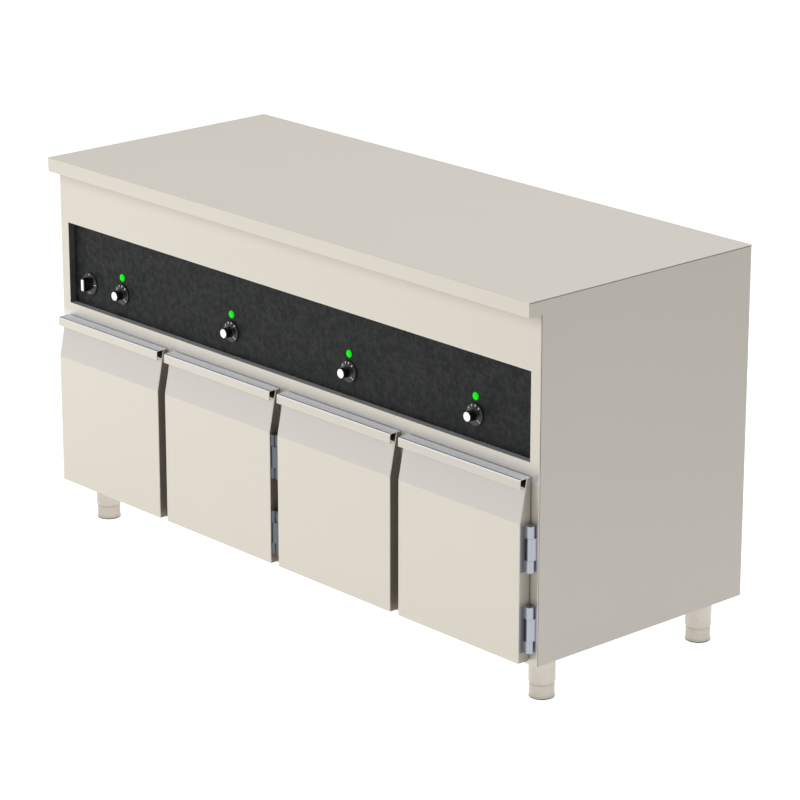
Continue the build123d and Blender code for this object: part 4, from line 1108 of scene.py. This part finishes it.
@dataclass(frozen=True)
class Studio:
    """Camera at the photograph's angle, a plain floor, a white surround and soft lamps."""

    azimuth: float = 47.951
    elevation: float = 18.005
    roll: float = 0.038
    distance: float = 7.6664
    across: float = 0.0364
    rise: float = -0.4441
    lens: float = 156.262
    sensor: float = 36.0
    floor_half: float = 60.0
    surround_light: float = 0.3
    floor_glow: float = 0.5
    floor_bounce: float = 0.3

    def build(self) -> None:
        """Set the stage."""
        bpy.context.scene.view_settings.view_transform = "Standard"
        self._camera()
        self._surround()
        self._floor()
        self._lamp("key", (-2.9, -3.4, 2.1), 2.4, 66.0, (1.0, 0.985, 0.96), False)
        self._lamp("top", (0.6, 0.4, 4.4), 3.4, 86.0, (0.95, 0.98, 1.0))

    def _directions(self) -> tuple[Vector, Vector, Vector]:
        """Right, up and backward directions of the camera."""
        turn, tilt = math.radians(self.azimuth), math.radians(self.elevation)
        back = Vector((math.sin(turn) * math.cos(tilt), -math.cos(turn) * math.cos(tilt), math.sin(tilt)))
        right = Vector((math.cos(turn), math.sin(turn), 0.0))
        return right, back.cross(right), back

    def _camera(self) -> None:
        """Place the camera by its angles about the middle of the worktop."""
        right, up, back = self._directions()
        data = bpy.data.cameras.new("camera")
        data.lens, data.sensor_width = self.lens, self.sensor
        data.clip_end = 200.0
        camera = bpy.data.objects.new("camera", data)
        bpy.context.scene.collection.objects.link(camera)
        top = Vector((0.0, 0.0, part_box("worktop_skin")[1].z))
        place = top + self.across * right + self.rise * up + self.distance * back
        turn = Matrix((right, up, back)).transposed() @ Matrix.Rotation(math.radians(self.roll), 3, "Z")
        camera.matrix_world = Matrix.Translation(place) @ turn.to_4x4()
        bpy.context.scene.camera = camera

    def _seen_directly(self, shader: "Shader") -> Value:
        """1 for rays from the camera, from gloss or through glass, and 0 for soft light."""
        rays = shader.node("ShaderNodeLightPath", {}, {})
        shares = [Value(shader, rays.outputs[name])
                  for name in ("Is Camera Ray", "Is Glossy Ray", "Is Transmission Ray")]
        total = shares[0] + shares[1] + shares[2]
        return total.math("MINIMUM", total, 1.0)

    def _surround(self) -> None:
        """White to the eye and in reflections, and a plain grey as soft light."""
        world = bpy.data.worlds.new("surround")
        bpy.context.scene.world = world
        world.use_nodes = True
        tree = world.node_tree
        tree.nodes.clear()
        rays = add_node(tree, "ShaderNodeLightPath", {}, {})
        background = add_node(tree, "ShaderNodeBackground", {}, {})
        total = rays.outputs["Is Camera Ray"]
        for name in ("Is Glossy Ray", "Is Transmission Ray"):
            sockets = {0: total, 1: rays.outputs[name]}
            total = add_node(tree, "ShaderNodeMath", {"operation": "MAXIMUM"}, sockets).outputs[0]
        levels = {"To Min": self.surround_light, "To Max": 1.0, "Value": total}
        level = add_node(tree, "ShaderNodeMapRange", {}, levels)
        tree.links.new(level.outputs[0], background.inputs["Strength"])
        add_node(tree, "ShaderNodeOutputWorld", {}, {0: background.outputs[0]})

    def _floor(self) -> None:
        """A wide pale plane that shows white where nothing shades it."""
        half = self.floor_half
        mesh = bpy.data.meshes.new("floor")
        corners = [(-half, -half, 0), (half, -half, 0), (half, half, 0), (-half, half, 0)]
        mesh.from_pydata(corners, [], [(0, 1, 2, 3)])
        floor = bpy.data.objects.new("floor", mesh)
        bpy.context.scene.collection.objects.link(floor)
        shader = Shader("floor_white")
        seen = self._seen_directly(shader)
        shader.set(Base_Color=(0.82, 0.82, 0.82), Roughness=0.9, Specular_IOR_Level=0.0)
        glow = self.floor_bounce + self.floor_glow * seen
        shader.set(Emission_Color=(1.0, 1.0, 1.0), Emission_Strength=glow)
        mesh.materials.append(shader.material)

    def _lamp(self, name: str, place: Sequence[float], width: float, power: float, tint: Colour,
              glossy: bool = True) -> None:
        """Add a square lamp aimed at the middle of the counter.

        Args:
            name: The lamp's name.
            place: Where it stands.
            width: Length of its side.
            power: Its power in watts.
            tint: Its colour.
            glossy: Whether it shows in reflections.
        """
        data = bpy.data.lights.new(name, "AREA")
        data.color = tint
        data.shape, data.size, data.energy = "SQUARE", width, power
        lamp = bpy.data.objects.new(name, data)
        bpy.context.scene.collection.objects.link(lamp)
        aim = Vector((0.0, 0.0, 0.45)) - Vector(place)
        lamp.rotation_euler = aim.to_track_quat("-Z", "Y").to_euler()
        lamp.location = place
        lamp.visible_glossy = glossy


def main() -> None:
    """Build the stage and every sub-assembly."""
    logging.basicConfig(level=logging.INFO, format="%(name)s: %(message)s")
    Studio().build()
    for assembly in (Casing(), Inside(), Doors(), Controls(), Legs()):
        assembly.build()
    bpy.context.view_layer.update()


if __name__ == "__main__":
    main()
